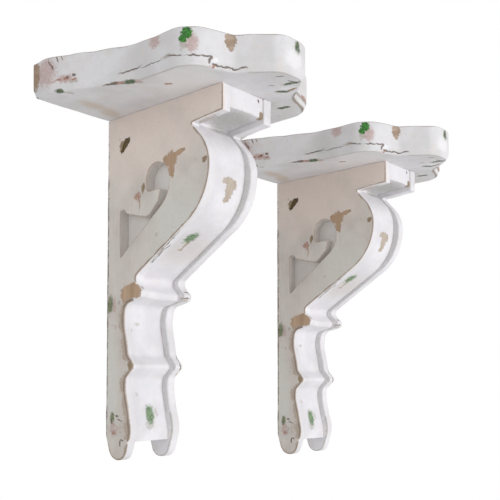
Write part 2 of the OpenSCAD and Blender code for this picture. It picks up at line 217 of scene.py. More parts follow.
class FlatFace:
    """A flat face within one outer loop and round its holes.

    Its fill is a Delaunay mesh through the loops' own points, rings that follow them
    at set distances, and a honeycomb of points over the rest.
    """

    BATCH = 2000  # points worked on at a time
    RINGED_LOOP = 60  # loops with no more points than this get no rings
    RING_ROOM = 0.93  # share of its distance that a ring's point must keep
    ROW_RISE = 0.866  # rise between the honeycomb's rows, in steps
    COMB_ROOM = 0.6  # steps between the honeycomb and the last ring
    SAME_CORNER = 1e-6

    def __init__(self, loops: Sequence[np.ndarray]) -> None:
        """Takes the outer loop, inside on the left, and holes, inside on the right."""
        self.loops = list(loops)
        self.start = np.concatenate(self.loops)
        self.end = np.concatenate([np.roll(loop, -1, 0) for loop in self.loops])

    def _in_parts(
        self, points: np.ndarray, work: Callable[[np.ndarray], np.ndarray]
    ) -> np.ndarray:
        """Runs work over the points a batch at a time, to bound its memory."""
        starts = range(0, len(points), self.BATCH)
        parts = [work(points[i : i + self.BATCH]) for i in starts]
        return np.concatenate(parts) if parts else np.zeros(0)

    def clearance(self, points: np.ndarray) -> np.ndarray:
        """Distance from each point to the nearest edge.

        The nearest place on an edge is its start plus the share of it, kept between
        0 and 1, that the point's offset projects to.

        Args:
            points: (u, v) rows.

        Returns:
            One distance per point.
        """
        run = self.end - self.start
        length2 = np.maximum((run**2).sum(1), TINY)

        def work(part: np.ndarray) -> np.ndarray:
            """Distances of one part of the points."""
            du = part[:, None, 0] - self.start[None, :, 0]
            dv = part[:, None, 1] - self.start[None, :, 1]
            share = np.clip((du * run[:, 0] + dv * run[:, 1]) / length2, 0, 1)
            return np.sqrt(
                ((du - share * run[:, 0]) ** 2 + (dv - share * run[:, 1]) ** 2).min(1)
            )

        return self._in_parts(points, work)

    def inside(self, points: np.ndarray) -> np.ndarray:
        """Whether each point is on the material, by how often a ray to +u crosses edges."""
        run = self.end - self.start
        rise = np.where(np.abs(run[:, 1]) < TINY, TINY, run[:, 1])

        def work(part: np.ndarray) -> np.ndarray:
            """Parity of crossings for one part of the points."""
            v = part[:, None, 1]
            spans = (self.start[:, 1] > v) != (self.end[:, 1] > v)
            cross = self.start[:, 0] + run[:, 0] * (v - self.start[:, 1]) / rise
            return ((spans & (part[:, None, 0] < cross)).sum(1) % 2).astype(bool)

        return self._in_parts(points, work).astype(bool)

    def fill(
        self, step: float, rings: Sequence[float] = ()
    ) -> tuple[np.ndarray, np.ndarray]:
        """Points and triangles of the face.

        Args:
            step: Spacing of the honeycomb, in millimetres.
            rings: Distances of the rings from the loops.

        Returns:
            (u, v) rows, and rows of three point numbers turning left.
        """
        inner: list[np.ndarray] = []
        big = [loop for loop in self.loops if len(loop) > self.RINGED_LOOP]
        for ring in rings:
            for loop in big:
                moved = loop - unit(outward(loop)) * ring
                keep = self.inside(moved) & (self.clearance(moved) > self.RING_ROOM * ring)
                inner.append(moved[keep])
        low, high = self.start.min(0), self.start.max(0)
        rows = np.arange(low[1] + 0.5 * step, high[1], step * self.ROW_RISE)
        columns = np.arange(low[0], high[0], step)
        comb = np.stack(np.meshgrid(columns, rows), -1)
        comb[1::2, :, 0] += 0.5 * step
        comb = comb.reshape(-1, 2)
        gap = max(rings, default=0.0) + self.COMB_ROOM * step
        comb = comb[self.inside(comb)]
        comb = comb[self.clearance(comb) > gap]
        points = np.concatenate([*self.loops, *inner, comb])
        offset, edges = 0, []
        for loop in self.loops:
            number = np.arange(len(loop)) + offset
            edges.append(np.stack([number, np.roll(number, -1)], 1))
            offset += len(loop)
        found = delaunay_2d_cdt(
            points.tolist(), np.concatenate(edges).tolist(), [], 0, self.SAME_CORNER
        )
        places = np.array(found[0], float).reshape(-1, 2)
        triangles = np.array(found[2], int).reshape(-1, 3)
        corner = places[triangles]
        triangles = triangles[self.inside(corner.mean(1))]
        a, b, c = (places[triangles[:, k]] for k in range(3))
        turn = (b - a)[:, 0] * (c - a)[:, 1] - (b - a)[:, 1] * (c - a)[:, 0]
        triangles[turn < 0] = triangles[turn < 0][:, ::-1]
        return places, triangles


# ---------------------------------------------------------------- shells


class Plane(Enum):
    """How a drawing's (u, v, w) becomes a shelf's (x, y, z)."""

    LEVEL = (0, 1, 2)
    SIDE = (2, 0, 1)
    BACK = (1, 2, 0)

    def carry(self, uvw: np.ndarray) -> np.ndarray:
        """Points with their three numbers put in the shelf's order."""
        return uvw[..., list(self.value)]


@dataclass(frozen=True)
class Waviness:
    """Slow unevenness of wood that was shaped and sanded by hand.

    The value at a place is the sum of cosines of (wave vector . place + phase) over
    seeded directions, divided by the root of half their number.
    """

    height: float
    length: float
    seed: int
    waves: int = 14

    def at(self, places: np.ndarray) -> np.ndarray:
        """Value at each place, about -height to +height."""
        draw = np.random.default_rng(self.seed)
        way = unit(draw.normal(size=(self.waves, places.shape[-1])))
        way *= (2 * np.pi / self.length) * draw.uniform(0.5, 1.6, (self.waves, 1))
        phase = draw.uniform(0, 2 * np.pi, self.waves)
        total = np.cos(places @ way.T + phase).sum(-1)
        return self.height * total / math.sqrt(2 * self.waves)


@dataclass(frozen=True)
class WornStretch:
    """A box, in (x, distance from the wall, z), in which edges have lost more paint."""

    low: Triple
    high: Triple
    width: float
    fade: float = 6.0

    def at(self, places: np.ndarray) -> np.ndarray:
        """Width of bare edge at each place: whole inside, falling to 0 over the fade."""
        point = places * np.array([1.0, -1.0, 1.0])
        out = np.maximum(np.maximum(np.array(self.low) - point, point - self.high), 0)
        return self.width * np.clip(1 - np.linalg.norm(out, axis=1) / self.fade, 0, 1)


class Shell:
    """Patches of one piece, welded along their common edges into one closed mesh."""

    IN_POCKET = 4.0  # distance to worn edges that a recess's walls and floor are given
    POCKET_STEP = 3.0
    WALL_ROWS = 3

    def __init__(self) -> None:
        """Starts with no patches."""
        self._points: list[np.ndarray] = []
        self._edge: list[np.ndarray] = []
        self._tone: list[np.ndarray] = []
        self._quads: list[np.ndarray] = []
        self._triangles: list[np.ndarray] = []
        self._count = 0

    def _take(self, points: np.ndarray, edge: np.ndarray | float, tone: float) -> int:
        """Stores points, their distance to the nearest edge and their tone; gives their offset."""
        offset = self._count
        self._points.append(points)
        self._edge.append(np.broadcast_to(np.asarray(edge, float), len(points)).copy())
        self._tone.append(np.full(len(points), tone))
        self._count += len(points)
        return offset

    def grid(
        self,
        uvw: np.ndarray,
        plane: Plane,
        edge: np.ndarray | float,
        wrap: bool = True,
        tone: float = 0.0,
    ) -> None:
        """Adds a grid of points as quads that face right of the columns' travel.

        Args:
            uvw: Points, rows upwards along w and columns along the outline.
            plane: How the drawing lies in the shelf.
            edge: Distance of each point to the nearest edge.
            wrap: Whether the last column joins the first.
            tone: 0 for the piece's first paint, 1 for its second.
        """
        rows, columns = uvw.shape[:2]
        if not isinstance(edge, float):
            edge = np.broadcast_to(edge, (rows, columns)).reshape(-1)
        offset = self._take(plane.carry(uvw).reshape(-1, 3), edge, tone)
        number = np.arange(rows * columns).reshape(rows, columns) + offset
        right = np.roll(number, -1, 1) if wrap else number[:, 1:]
        left = number if wrap else number[:, :-1]
        quads = np.stack([left[:-1], right[:-1], right[1:], left[1:]], -1)
        self._quads.append(quads.reshape(-1, 4))

    def flat(
        self,
        face: FlatFace,
        level: float,
        up: bool,
        plane: Plane,
        step: float,
        rings: Sequence[float] = (),
        rim: float = 0.0,
        tone: float = 0.0,
    ) -> None:
        """Adds a filled flat face.

        Args:
            face: Its loops.
            level: Its w.
            up: Whether it faces +w.
            plane: How the drawing lies in the shelf.
            step: Spacing of its inner points.
            rings: Distances of its rings from the loops.
            rim: Distance from its loops to the true edge round it.
            tone: 0 for the piece's first paint, 1 for its second.
        """
        points, triangles = face.fill(step, rings)
        uvw = np.column_stack([points, np.full(len(points), level)])
        edge = face.clearance(points) + rim
        offset = self._take(plane.carry(uvw), edge, tone)
        self._triangles.append((triangles if up else triangles[:, ::-1]) + offset)

    def pocket(
        self,
        loop: np.ndarray,
        top: float,
        depth: float,
        plane: Plane,
        up: bool = True,
        floor_holes: Sequence[np.ndarray] = (),
        tone: float = 0.0,
    ) -> None:
        """Adds the walls and the floor of a recess in a flat face.

        Args:
            loop: The recess's outline, inside on the left.
            top: w of the face it is cut into.
            depth: How deep it goes.
            plane: How the drawing lies in the shelf.
            up: Whether the face it is cut into faces +w.
            floor_holes: Outlines, inside on the left, of deeper recesses in its floor.
            tone: 0 for the piece's first paint, 1 for its second.
        """
        floor = top - depth if up else top + depth
        low, high = (floor, top) if up else (top, floor)
        wall = stacked(loop[::-1], np.linspace(low, high, self.WALL_ROWS))
        self.grid(wall, plane, self.IN_POCKET, tone=tone)
        face = FlatFace([loop, *[hole[::-1] for hole in floor_holes]])
        self.flat(face, floor, up, plane, self.POCKET_STEP, rim=self.IN_POCKET, tone=tone)

    def build(
        self,
        name: str,
        place: "ShelfPlace",
        limits: tuple[np.ndarray, np.ndarray],
        waviness: Waviness,
        stretches: Sequence[WornStretch],
        offset: Triple = (0.0, 0.0, 0.0),
    ) -> bpy.types.Object:
        """Welds the patches, makes them slightly uneven and puts them in the scene.

        Args:
            name: The piece's name.
            place: The shelf it belongs to.
            limits: Lowest and highest corner it may reach, in metres.
            waviness: How uneven it is.
            stretches: Where its edges are worn most.
            offset: Its drawing's place in the shelf's space.

        Returns:
            The piece, at the origin, with its place in its mesh.
        """
        points = np.concatenate(self._points) + np.array(offset)
        key = np.round(points / WELD).astype(np.int64)
        _, first, same = np.unique(key, axis=0, return_index=True, return_inverse=True)
        same = same.reshape(-1)
        edge = np.full(len(first), np.inf)
        np.minimum.at(edge, same, np.concatenate(self._edge))
        tone = np.zeros(len(first))
        np.maximum.at(tone, same, np.concatenate(self._tone))
        points = points[first]
        quads = same[np.concatenate(self._quads)]
        triangles = same[np.concatenate(self._triangles)]
        width = np.zeros(len(points))
        for stretch in stretches:
            width = np.maximum(width, stretch.at(points))
        seeds = (waviness.seed + k for k in range(3))
        shift = np.stack([replace(waviness, seed=seed).at(points) for seed in seeds], 1)
        places = np.clip(place.to_frame(points + shift), *limits)
        mesh = bpy.data.meshes.new(name)
        mesh.vertices.add(len(places))
        mesh.vertices.foreach_set("co", places.astype(np.float32).ravel())
        loops = np.concatenate([quads.ravel(), triangles.ravel()])
        sizes = np.concatenate([np.full(len(quads), 4), np.full(len(triangles), 3)])
        starts = np.concatenate([[0], np.cumsum(sizes)[:-1]])
        mesh.loops.add(len(loops))
        mesh.loops.foreach_set("vertex_index", loops.astype(np.int32))
        mesh.polygons.add(len(sizes))
        mesh.polygons.foreach_set("loop_start", starts.astype(np.int32))
        mesh.polygons.foreach_set("use_smooth", np.ones(len(sizes), bool))
        mesh.update(calc_edges=True)
        fields = {"edge_distance": edge, "worn_width": width, "second_paint": tone}
        for label, values in fields.items():
            layer = mesh.attributes.new(label, "FLOAT", "POINT")
            layer.data.foreach_set("value", values.astype(np.float32))
        mesh.set_sharp_from_angle(angle=SHARP_EDGE)
        mesh.validate()
        piece = bpy.data.objects.new(name, mesh)
        bpy.context.scene.collection.objects.link(piece)
        return piece


@dataclass(frozen=True)
class Rim:
    """The edge of a slab: a rounded profile carried along its outline.

    A point is the outline's point, moved inwards by the profile's bevel along one
    field of directions and by its rounding along another, at the profile's height.
    """

    WORN_REACH: ClassVar[float] = 3.0  # how far from a corner wear moves the profile
    ARC_SHARE: ClassVar[float] = 0.4  # share of a rounding's radius that counts as edge

    profile: np.ndarray
    bevel: np.ndarray
    edge: np.ndarray
    corners: tuple[float, float]

    @classmethod
    def rounded(
        cls,
        stations: Sequence[Triple],
        step: float,
        bevel_height: float = 0.0,
        bevel_depth: float = 0.0,
    ) -> "Rim":
        """Profile through (inset, height, radius) stations, from the lower face to the upper.

        Args:
            stations: Corners of the profile; the first and last lie on the faces.
            step: Longest part of it.
            bevel_height: Height over which a bevel runs out.
            bevel_depth: Inset of the bevel at the lower face.

        Returns:
            The rim.
        """
        line = round_corners(stations, step, closed=False)
        bevel = (
            bevel_depth * np.clip(1 - line[:, 1] / bevel_height, 0, 1)
            if bevel_height
            else np.zeros(len(line))
        )
        inner = np.array([s[:2] for s in stations[1:-1]])
        away = np.linalg.norm(line[:, None] - inner[None], axis=2)
        nearest = away.argmin(1)
        radius = np.array([s[2] for s in stations[1:-1]])[nearest]
        edge = np.maximum(away.min(1) - cls.ARC_SHARE * radius, 0)
        return cls(line, bevel, edge, (stations[1][1], stations[-2][1]))

    def sweep(
        self,
        loop: np.ndarray,
        bevel_way: np.ndarray | None = None,
        wear: tuple[np.ndarray, np.ndarray] | None = None,
    ) -> np.ndarray:
        """Grid of points (rows up the profile, columns along the loop).

        Args:
            loop: The outline.
            bevel_way: Direction in which the bevel moves each point.
            wear: How many times the usual rounding each point of the lower and of the
                upper edge has.

        Returns:
            (u, v, w) of each point.
        """
        way = outward(loop)
        bevel_way = way if bevel_way is None else bevel_way
        low, high = self.corners
        middle = 0.5 * (low + high)
        inset, height = self.profile[:, :1], self.profile[:, 1:]
        bevel = self.bevel[:, None]
        ones = np.ones(len(loop))
        lower, upper = wear if wear else (ones, ones)
        at_top = height > middle
        times = np.where(at_top, upper[None], lower[None])
        corner = np.where(at_top, high, low)
        near = np.abs(height - corner) < self.WORN_REACH
        rounding = np.maximum(inset - bevel, 0) * times
        w = np.where(near & at_top, corner + (height - corner) * times, height)
        flat = (
            loop[None]
            - bevel[..., None] * bevel_way[None]
            - rounding[..., None] * way[None]
        )
        return np.concatenate([flat, np.broadcast_to(w, flat.shape[:2])[..., None]], -1)


@dataclass(frozen=True)
class ShelfPlace:
    """Where one shelf of the pair hangs."""

    name: str
    centre: float
    underside: float

    @classmethod
    def of(cls, name: str) -> "ShelfPlace":
        """Reads the place off the shelf's core in the frame: its middle and its top."""
        low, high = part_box(f"{name}_core")
        return cls(name, 0.5 * (low.x + high.x), high.z)

    def to_frame(self, points: np.ndarray) -> np.ndarray:
        """Points of this shelf, in millimetres, as metres in the frame."""
        return points * MM + np.array([self.centre, 0.0, self.underside])

    def node(self, piece: str) -> str:
        """Name of one of this shelf's nodes."""
        return f"{self.name}_{piece}"

    def limits(self, piece: str) -> tuple[np.ndarray, np.ndarray]:
        """Lowest and highest corner of one of this shelf's nodes."""
        low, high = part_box(self.node(piece))
        return np.array(low), np.array(high)


# ---------------------------------------------------------------- colours and marks


@dataclass(frozen=True)
class Tone:
    """A colour as it is seen, 0 to 255 each of red, green and blue."""

    red: float
    green: float
    blue: float

    def linear(self) -> tuple[float, float, float, float]:
        """The colour in linear light: ((c + 0.055) / 1.055) to the power 2.4."""
        seen = np.array([self.red, self.green, self.blue]) / 255
        light = ((seen + 0.055) / 1.055) ** 2.4
        return (float(light[0]), float(light[1]), float(light[2]), 1.0)


class MarkKind(Enum):
    """What shows where the paint has gone or changed, from the lowest layer up. The warm, cool and
    pale kinds also serve as painted shade, painted light and painted highlights.
    """

    # also painted shade: darkened warm patches on the board's underside next to the wall
    WARM = "broad warm tint"
    # also painted shade under the core's block, in its throat and on the right panel's inner face,
    # and painted light on the board's underside
    COOL = "broad cool tint"
    BLUSH = "thin paint over a pink undercoat"
    DULL = "thin paint over a grey-brown undercoat"
    RUSSET = "reddish undercoat"
    BARE = "bare wood"
    UMBER = "darkened bare wood"
    MOSS = "dull green stain"
    LEAF = "bright green paint"
    # also painted highlights: white flecks and patches where light catches the board's nose and
    # bevel and the left panel's arris
    PALE_PAINT_AND_HIGHLIGHT = "thick white paint"
    CRACK = "dark crack"
    KNOT = "dark knot"


@dataclass(frozen=True)
class Layer:
    """How one kind of mark is drawn.

    Its colour lies between two tones by a fine random pattern, or by the wood's grain.
    The fineness of its rim is in waves per millimetre and its depth in millimetres.
    """

    tone: Tone
    deep: Tone
    fineness: float
    ragged: float
    soft: float
    strength: float
    depth: float
    grained: bool = False


def standard_layers() -> dict[MarkKind, Layer]:
    """How each kind of mark is drawn, in the order in which they cover each other."""
    table = {
        MarkKind.WARM: ((242, 227, 218), (235, 220, 210), 0.03, 0.9, 0.6, 0.75, 0.0),
        MarkKind.COOL: ((226, 226, 219), (217, 216, 210), 0.03, 0.9, 0.6, 0.7, 0.0),
        MarkKind.BLUSH: ((206, 182, 177), (184, 156, 152), 0.45, 1.7, 0.35, 0.8, 0.05),
        MarkKind.DULL: ((188, 178, 168), (168, 157, 148), 0.35, 1.4, 0.35, 0.7, 0.06),
        MarkKind.RUSSET: ((168, 124, 108), (190, 158, 142), 0.6, 1.9, 0.2, 0.9, 0.2),
        MarkKind.BARE: ((200, 172, 146), (170, 142, 116), 0.4, 1.1, 0.06, 1.0, 0.3, True),
        MarkKind.UMBER: ((164, 146, 116), (138, 118, 92), 0.4, 1.1, 0.14, 0.9, 0.25, True),
        MarkKind.MOSS: ((136, 142, 108), (72, 92, 52), 0.5, 1.5, 0.36, 0.92, 0.05),
        MarkKind.LEAF: ((58, 142, 40), (12, 82, 10), 0.5, 1.2, 0.12, 0.97, 0.1),
        MarkKind.PALE_PAINT_AND_HIGHLIGHT: ((247, 245, 247), (240, 238, 240), 0.4, 1.0, 0.45, 0.85, -0.1),
        MarkKind.CRACK: ((122, 106, 96), (88, 74, 66), 0.5, 1.1, 0.3, 0.9, 0.3),
        MarkKind.KNOT: ((104, 86, 44), (56, 42, 18), 0.35, 0.7, 0.12, 1.0, 1.2),
    }
    return {
        kind: Layer(Tone(*tone), Tone(*deep), *rest)
        for kind, (tone, deep, *rest) in table.items()
    }


def layers_with(tones: dict[MarkKind, tuple[Tone, Tone]]) -> dict[MarkKind, Layer]:
    """The standard layers with both tones of some kinds changed."""
    layers = standard_layers()
    for kind, (tone, deep) in tones.items():
        layers[kind] = replace(layers[kind], tone=tone, deep=deep)
    return layers


class Facing(Enum):
    """The face a mark lies on, by the axis that it is turned about."""

    SIDE = (1.0, 0.0, 0.0)
    FRONT = (0.0, 1.0, 0.0)
    LEVEL = (0.0, 0.0, 1.0)


@dataclass(frozen=True)
class Mark:
    """One ragged oval mark: its middle and half sizes in (x, distance from wall, z)."""

    kind: MarkKind
    middle: Triple
    reach: Triple
    turn: float = 0.0
    facing: Facing = Facing.SIDE


# ---------------------------------------------------------------- node drawing

Socket = bpy.types.NodeSocket


class Drawing:
    """Draws shader nodes into one tree."""

    def __init__(self, tree: bpy.types.NodeTree) -> None:
        """Takes the tree to draw in."""
        self.tree = tree

    def add(
        self, kind: str, inputs: dict[str | int, object] | None = None, **settings: object
    ) -> bpy.types.Node:
        """Adds a node.

        Args:
            kind: Its type.
            inputs: Sockets or plain values for its inputs.
            **settings: Its properties.

        Returns:
            The node.
        """
        node = self.tree.nodes.new(kind)
        for key, value in settings.items():
            setattr(node, key, value)
        self.give(node, inputs or {})
        return node

    def give(self, node: bpy.types.Node, inputs: dict[str | int, object]) -> None:
        """Links sockets to a node's inputs, or sets them to plain values."""
        for name, value in inputs.items():
            if isinstance(value, Socket):
                self.tree.links.new(value, node.inputs[name])
            else:
                node.inputs[name].default_value = value

    def math(self, operation: str, a: object, b: object = 0.0) -> Socket:
        """Result of one sum on plain numbers."""
        return self.add("ShaderNodeMath", {0: a, 1: b}, operation=operation).outputs[0]

    def vector(self, operation: str, a: object, b: object = (0.0, 0.0, 0.0)) -> Socket:
        """Result of one sum on vectors; a length comes back as a number."""
        node = self.add("ShaderNodeVectorMath", {0: a, 1: b}, operation=operation)
        return node.outputs["Value" if operation == "LENGTH" else "Vector"]

    def mix(self, share: object, a: object, b: object, blend: str = "MIX") -> Socket:
        """Colour between a and b."""
        node = self.add(
            "ShaderNodeMix",
            {0: share, 6: a, 7: b},
            data_type="RGBA",
            blend_type=blend,
        )
        return node.outputs[2]

    def ramp(
        self, value: object, low: object, high: object, to: tuple[float, float] = (0.0, 1.0)
    ) -> Socket:
        """Smooth step from to[0] at low to to[1] at high."""
        node = self.add(
            "ShaderNodeMapRange",
            {0: value, 1: low, 2: high, 3: to[0], 4: to[1]},
            interpolation_type="SMOOTHSTEP",
        )
        return node.outputs[0]

    def noise(
        self, vector: object, scale: object, detail: float = 2.0, rough: float = 0.5
    ) -> bpy.types.Node:
        """Soft random pattern, with scale in waves per millimetre."""
        return self.add(
            "ShaderNodeTexNoise",
            {"Vector": vector, "Scale": scale, "Detail": detail, "Roughness": rough},
        )

    def effect(self, group: bpy.types.NodeTree, inputs: dict[str, object]) -> bpy.types.Node:
        """Places an effect with its own values."""
        return self.add("ShaderNodeGroup", inputs, node_tree=group)

    def millimetres(self, origin: Triple = (0.0, 0.0, 0.0)) -> Socket:
        """Object coordinates in millimetres from an origin that is given in metres."""
        return self.add(
            "ShaderNodeMapping",
            {
                "Vector": self.add("ShaderNodeTexCoord").outputs["Object"],
                "Location": tuple(-value / MM for value in origin),
                "Scale": (1 / MM, 1 / MM, 1 / MM),
            },
        ).outputs[0]

    def bump(self, height: Socket, strength: float, distance: float) -> Socket:
        """Normals bent by a height that is counted in distances."""
        return self.add(
            "ShaderNodeBump", {"Height": height, "Strength": strength, "Distance": distance}
        ).outputs[0]

    def attribute(self, name: str) -> Socket:
        """A number that the mesh carries at its points."""
        return self.add("ShaderNodeAttribute", attribute_name=name).outputs["Fac"]


class Kind(Enum):
    """Types of an effect's sockets."""

    NUMBER = "NodeSocketFloat"
    VECTOR = "NodeSocketVector"
    COLOUR = "NodeSocketColor"


def new_effect(
    name: str, inputs: dict[str, Kind], outputs: dict[str, Kind]
) -> tuple[Drawing, dict[str, Socket], bpy.types.Node]:
    """Starts a shader node group.

    Args:
        name: The effect's name.
        inputs: Its inputs.
        outputs: Its outputs.

    Returns:
        Its drawing, its input sockets by name and its output node.
    """
    tree = bpy.data.node_groups.new(name, "ShaderNodeTree")
    for label, kind in inputs.items():
        tree.interface.new_socket(label, in_out="INPUT", socket_type=kind.value)
    for label, kind in outputs.items():
        tree.interface.new_socket(label, in_out="OUTPUT", socket_type=kind.value)
    draw = Drawing(tree)
    entry = draw.add("NodeGroupInput")
    leave = draw.add("NodeGroupOutput")
    return draw, {label: entry.outputs[label] for label in inputs}, leave


class Effects:
    """The effects that several finishes use, each a node group built once."""

    def __init__(self) -> None:
        """Builds them all."""
        self.uneven_space = self._uneven_space()
        self.worn_patch = self._worn_patch()
        self.ragged_mask = self._ragged_mask()
        self.edge_wear = self._edge_wear()
        self.wood_grain = self._wood_grain()
        self.brushed_paint = self._brushed_paint()

    @staticmethod
    def _uneven_space() -> bpy.types.NodeTree:
        """Places shifted by up to half the amount, by a coarse and a fine random pattern."""
        draw, get, leave = new_effect(
            "uneven_space",
            {"Vector": Kind.VECTOR, "Amount": Kind.NUMBER},
            {"Vector": Kind.VECTOR},
        )
        random = draw.noise(get["Vector"], 0.16, 4.0, 0.62).outputs["Color"]
        shift = draw.vector("SUBTRACT", random, (0.5, 0.5, 0.5))
        scaled = draw.add(
            "ShaderNodeVectorMath", {0: shift, "Scale": get["Amount"]}, operation="SCALE"
        ).outputs[0]
        draw.give(leave, {"Vector": draw.vector("ADD", get["Vector"], scaled)})
        return draw.tree

    @staticmethod
    def _worn_patch() -> bpy.types.NodeTree:
        """Distance from an oval's middle, counted in its half sizes, so 1 is its rim."""
        draw, get, leave = new_effect(
            "worn_patch",
            {
                "Vector": Kind.VECTOR,
                "Middle": Kind.VECTOR,
                "Axis": Kind.VECTOR,
                "Turn": Kind.NUMBER,
                "Reach": Kind.VECTOR,
            },
            {"Distance": Kind.NUMBER},
        )
        turned = draw.add(
            "ShaderNodeVectorRotate",
            {
                "Vector": draw.vector("SUBTRACT", get["Vector"], get["Middle"]),
                "Axis": get["Axis"],
                "Angle": get["Turn"],
            },
            rotation_type="AXIS_ANGLE",
        ).outputs[0]
        share = draw.vector("DIVIDE", turned, get["Reach"])
        draw.give(leave, {"Distance": draw.vector("LENGTH", share)})
        return draw.tree

    @staticmethod
    def _ragged_mask() -> bpy.types.NodeTree:
        """1 where the distance, plus a random amount, is under 1, with a soft rim."""
        draw, get, leave = new_effect(
            "ragged_mask",
            {
                "Distance": Kind.NUMBER,
                "Vector": Kind.VECTOR,
                "Fineness": Kind.NUMBER,
                "Ragged": Kind.NUMBER,
                "Soft": Kind.NUMBER,
            },
            {"Mask": Kind.NUMBER},
        )
        noise = draw.noise(get["Vector"], get["Fineness"], 5.0, 0.6).outputs["Fac"]
        random = draw.math("MULTIPLY", draw.math("SUBTRACT", noise, 0.5), get["Ragged"])
        value = draw.math("ADD", get["Distance"], random)
        inner = draw.math("SUBTRACT", 1.0, get["Soft"])
        outer = draw.math("ADD", 1.0, get["Soft"])
        draw.give(leave, {"Mask": draw.ramp(value, inner, outer, (1.0, 0.0))})
        return draw.tree

    @staticmethod
    def _edge_wear() -> bpy.types.NodeTree:
        """1 where the distance to the edge is under the worn width times a random share.

        Core is 1 only in about a fifth of that width, next to the edge itself.
        """
        draw, get, leave = new_effect(
            "edge_wear",
            {"Edge": Kind.NUMBER, "Width": Kind.NUMBER, "Vector": Kind.VECTOR},
            {"Mask": Kind.NUMBER, "Core": Kind.NUMBER},
        )
        slow = draw.noise(get["Vector"], 0.07, 3.0, 0.6).outputs["Fac"]
        fast = draw.noise(get["Vector"], 0.55, 4.0, 0.65).outputs["Fac"]
        share = draw.math(
            "ADD", draw.ramp(slow, 0.35, 0.66, (0.6, 1.15)), draw.ramp(fast, 0.2, 0.8, (-0.35, 0.4))
        )
        reach = draw.math("MULTIPLY", get["Width"], share)
        there = draw.ramp(get["Width"], 0.0, 0.3)
        for label, part, soft in (("Mask", 1.0, 0.34), ("Core", 0.22, 0.08)):
            value = draw.math(
                "SUBTRACT", draw.math("MULTIPLY", reach, part), get["Edge"]
            )
            rim = draw.math("ADD", draw.math("MULTIPLY", get["Width"], soft), 0.08)
            low = draw.math("MULTIPLY", rim, -0.6)
            mask = draw.math("MULTIPLY", draw.ramp(value, low, rim), there)
            draw.give(leave, {label: mask})
        return draw.tree

    @staticmethod
    def _wood_grain() -> bpy.types.NodeTree:
        """Light and dark fibres: random patterns drawn out along the grain."""
        draw, get, leave = new_effect(
            "wood_grain",
            {
                "Vector": Kind.VECTOR,
                "Squeeze": Kind.VECTOR,
                "Light": Kind.COLOUR,
                "Dark": Kind.COLOUR,
            },
            {"Color": Kind.COLOUR, "Height": Kind.NUMBER},
        )
        along = draw.vector("MULTIPLY", get["Vector"], get["Squeeze"])
        broad = draw.noise(along, 0.22, 3.0, 0.55).outputs["Fac"]
        fibre = draw.noise(along, 1.5, 4.0, 0.7).outputs["Fac"]
        blend = draw.math(
            "ADD", draw.math("MULTIPLY", broad, 0.65), draw.math("MULTIPLY", fibre, 0.45)
        )
        colour = draw.mix(draw.ramp(blend, 0.36, 0.74), get["Light"], get["Dark"])
        draw.give(leave, {"Color": colour, "Height": fibre})
        return draw.tree

    def _brushed_paint(self) -> bpy.types.NodeTree:
        """Chalky paint: warm and cool clouds, streaks along the brush, strokes across it."""
        draw, get, leave = new_effect(
            "brushed_paint",
            {
                "Vector": Kind.VECTOR,
                "Squeeze": Kind.VECTOR,
                "Axis": Kind.VECTOR,
                "Light": Kind.COLOUR,
                "Dark": Kind.COLOUR,
                "Warm": Kind.COLOUR,
                "Cool": Kind.COLOUR,
                "Streaks": Kind.NUMBER,
            },
            {"Color": Kind.COLOUR, "Height": Kind.NUMBER},
        )
        spot = get["Vector"]
        bent = draw.effect(self.uneven_space, {"Vector": spot, "Amount": 2.5}).outputs[0]
        along = draw.vector("MULTIPLY", bent, get["Squeeze"])
        turned = draw.add(
            "ShaderNodeVectorRotate",
            {"Vector": bent, "Axis": get["Axis"], "Angle": STROKE_TURN},
            rotation_type="AXIS_ANGLE",
        ).outputs[0]
        across = draw.vector("MULTIPLY", turned, get["Squeeze"])
        blotch = draw.noise(spot, 0.03, 3.0, 0.55).outputs["Fac"]
        cloud = draw.noise(spot, 0.075, 4.0, 0.62).outputs["Fac"]
        streak = draw.noise(along, 0.42, 4.0, 0.62).outputs["Fac"]
        stroke = draw.noise(across, 0.3, 4.0, 0.6).outputs["Fac"]
        tooth = draw.noise(spot, 0.9, 3.0, 0.6).outputs["Fac"]
        colour = draw.mix(draw.ramp(blotch, 0.36, 0.66), get["Light"], get["Dark"])
        for value, low, high, share, tone in (
            (cloud, 0.5, 0.7, 0.6, get["Warm"]),
            (cloud, 0.46, 0.28, 0.6, get["Cool"]),
            (stroke, 0.5, 0.68, draw.math("MULTIPLY", get["Streaks"], 0.7), get["Light"]),
            (stroke, 0.46, 0.3, draw.math("MULTIPLY", get["Streaks"], 0.5), get["Warm"]),
            (streak, 0.5, 0.7, get["Streaks"], get["Dark"]),
            (streak, 0.45, 0.28, draw.math("MULTIPLY", get["Streaks"], 0.8), get["Light"]),
            (tooth, 0.62, 0.85, 0.16, get["Dark"]),
        ):
            mask = draw.math("MULTIPLY", draw.ramp(value, low, high), share)
            colour = draw.mix(mask, colour, tone)
        height = draw.math(
            "ADD", draw.math("MULTIPLY", streak, 0.7), draw.math("MULTIPLY", tooth, 0.5)
        )
        height = draw.math("ADD", height, draw.math("MULTIPLY", stroke, 0.6))
        draw.give(leave, {"Color": colour, "Height": height})
        return draw.tree


# ---------------------------------------------------------------- finishes


def new_material(name: str) -> tuple[bpy.types.Material, Drawing, bpy.types.Node]:
    """An empty material with its principled shader; gives it, its drawing and the shader."""
    material = bpy.data.materials.new(name)
    material.use_nodes = True
    material.node_tree.nodes.clear()
    draw = Drawing(material.node_tree)
    shader = draw.add("ShaderNodeBsdfPrincipled")
    draw.add("ShaderNodeOutputMaterial", {"Surface": shader.outputs[0]})
    return material, draw, shader


@dataclass(frozen=True)
class Coat:
    """One paint in its tones: plain and shaded, with warm and cool clouds."""

    light: Tone
    dark: Tone
    warm: Tone
    cool: Tone
    streaks: float = 0.35


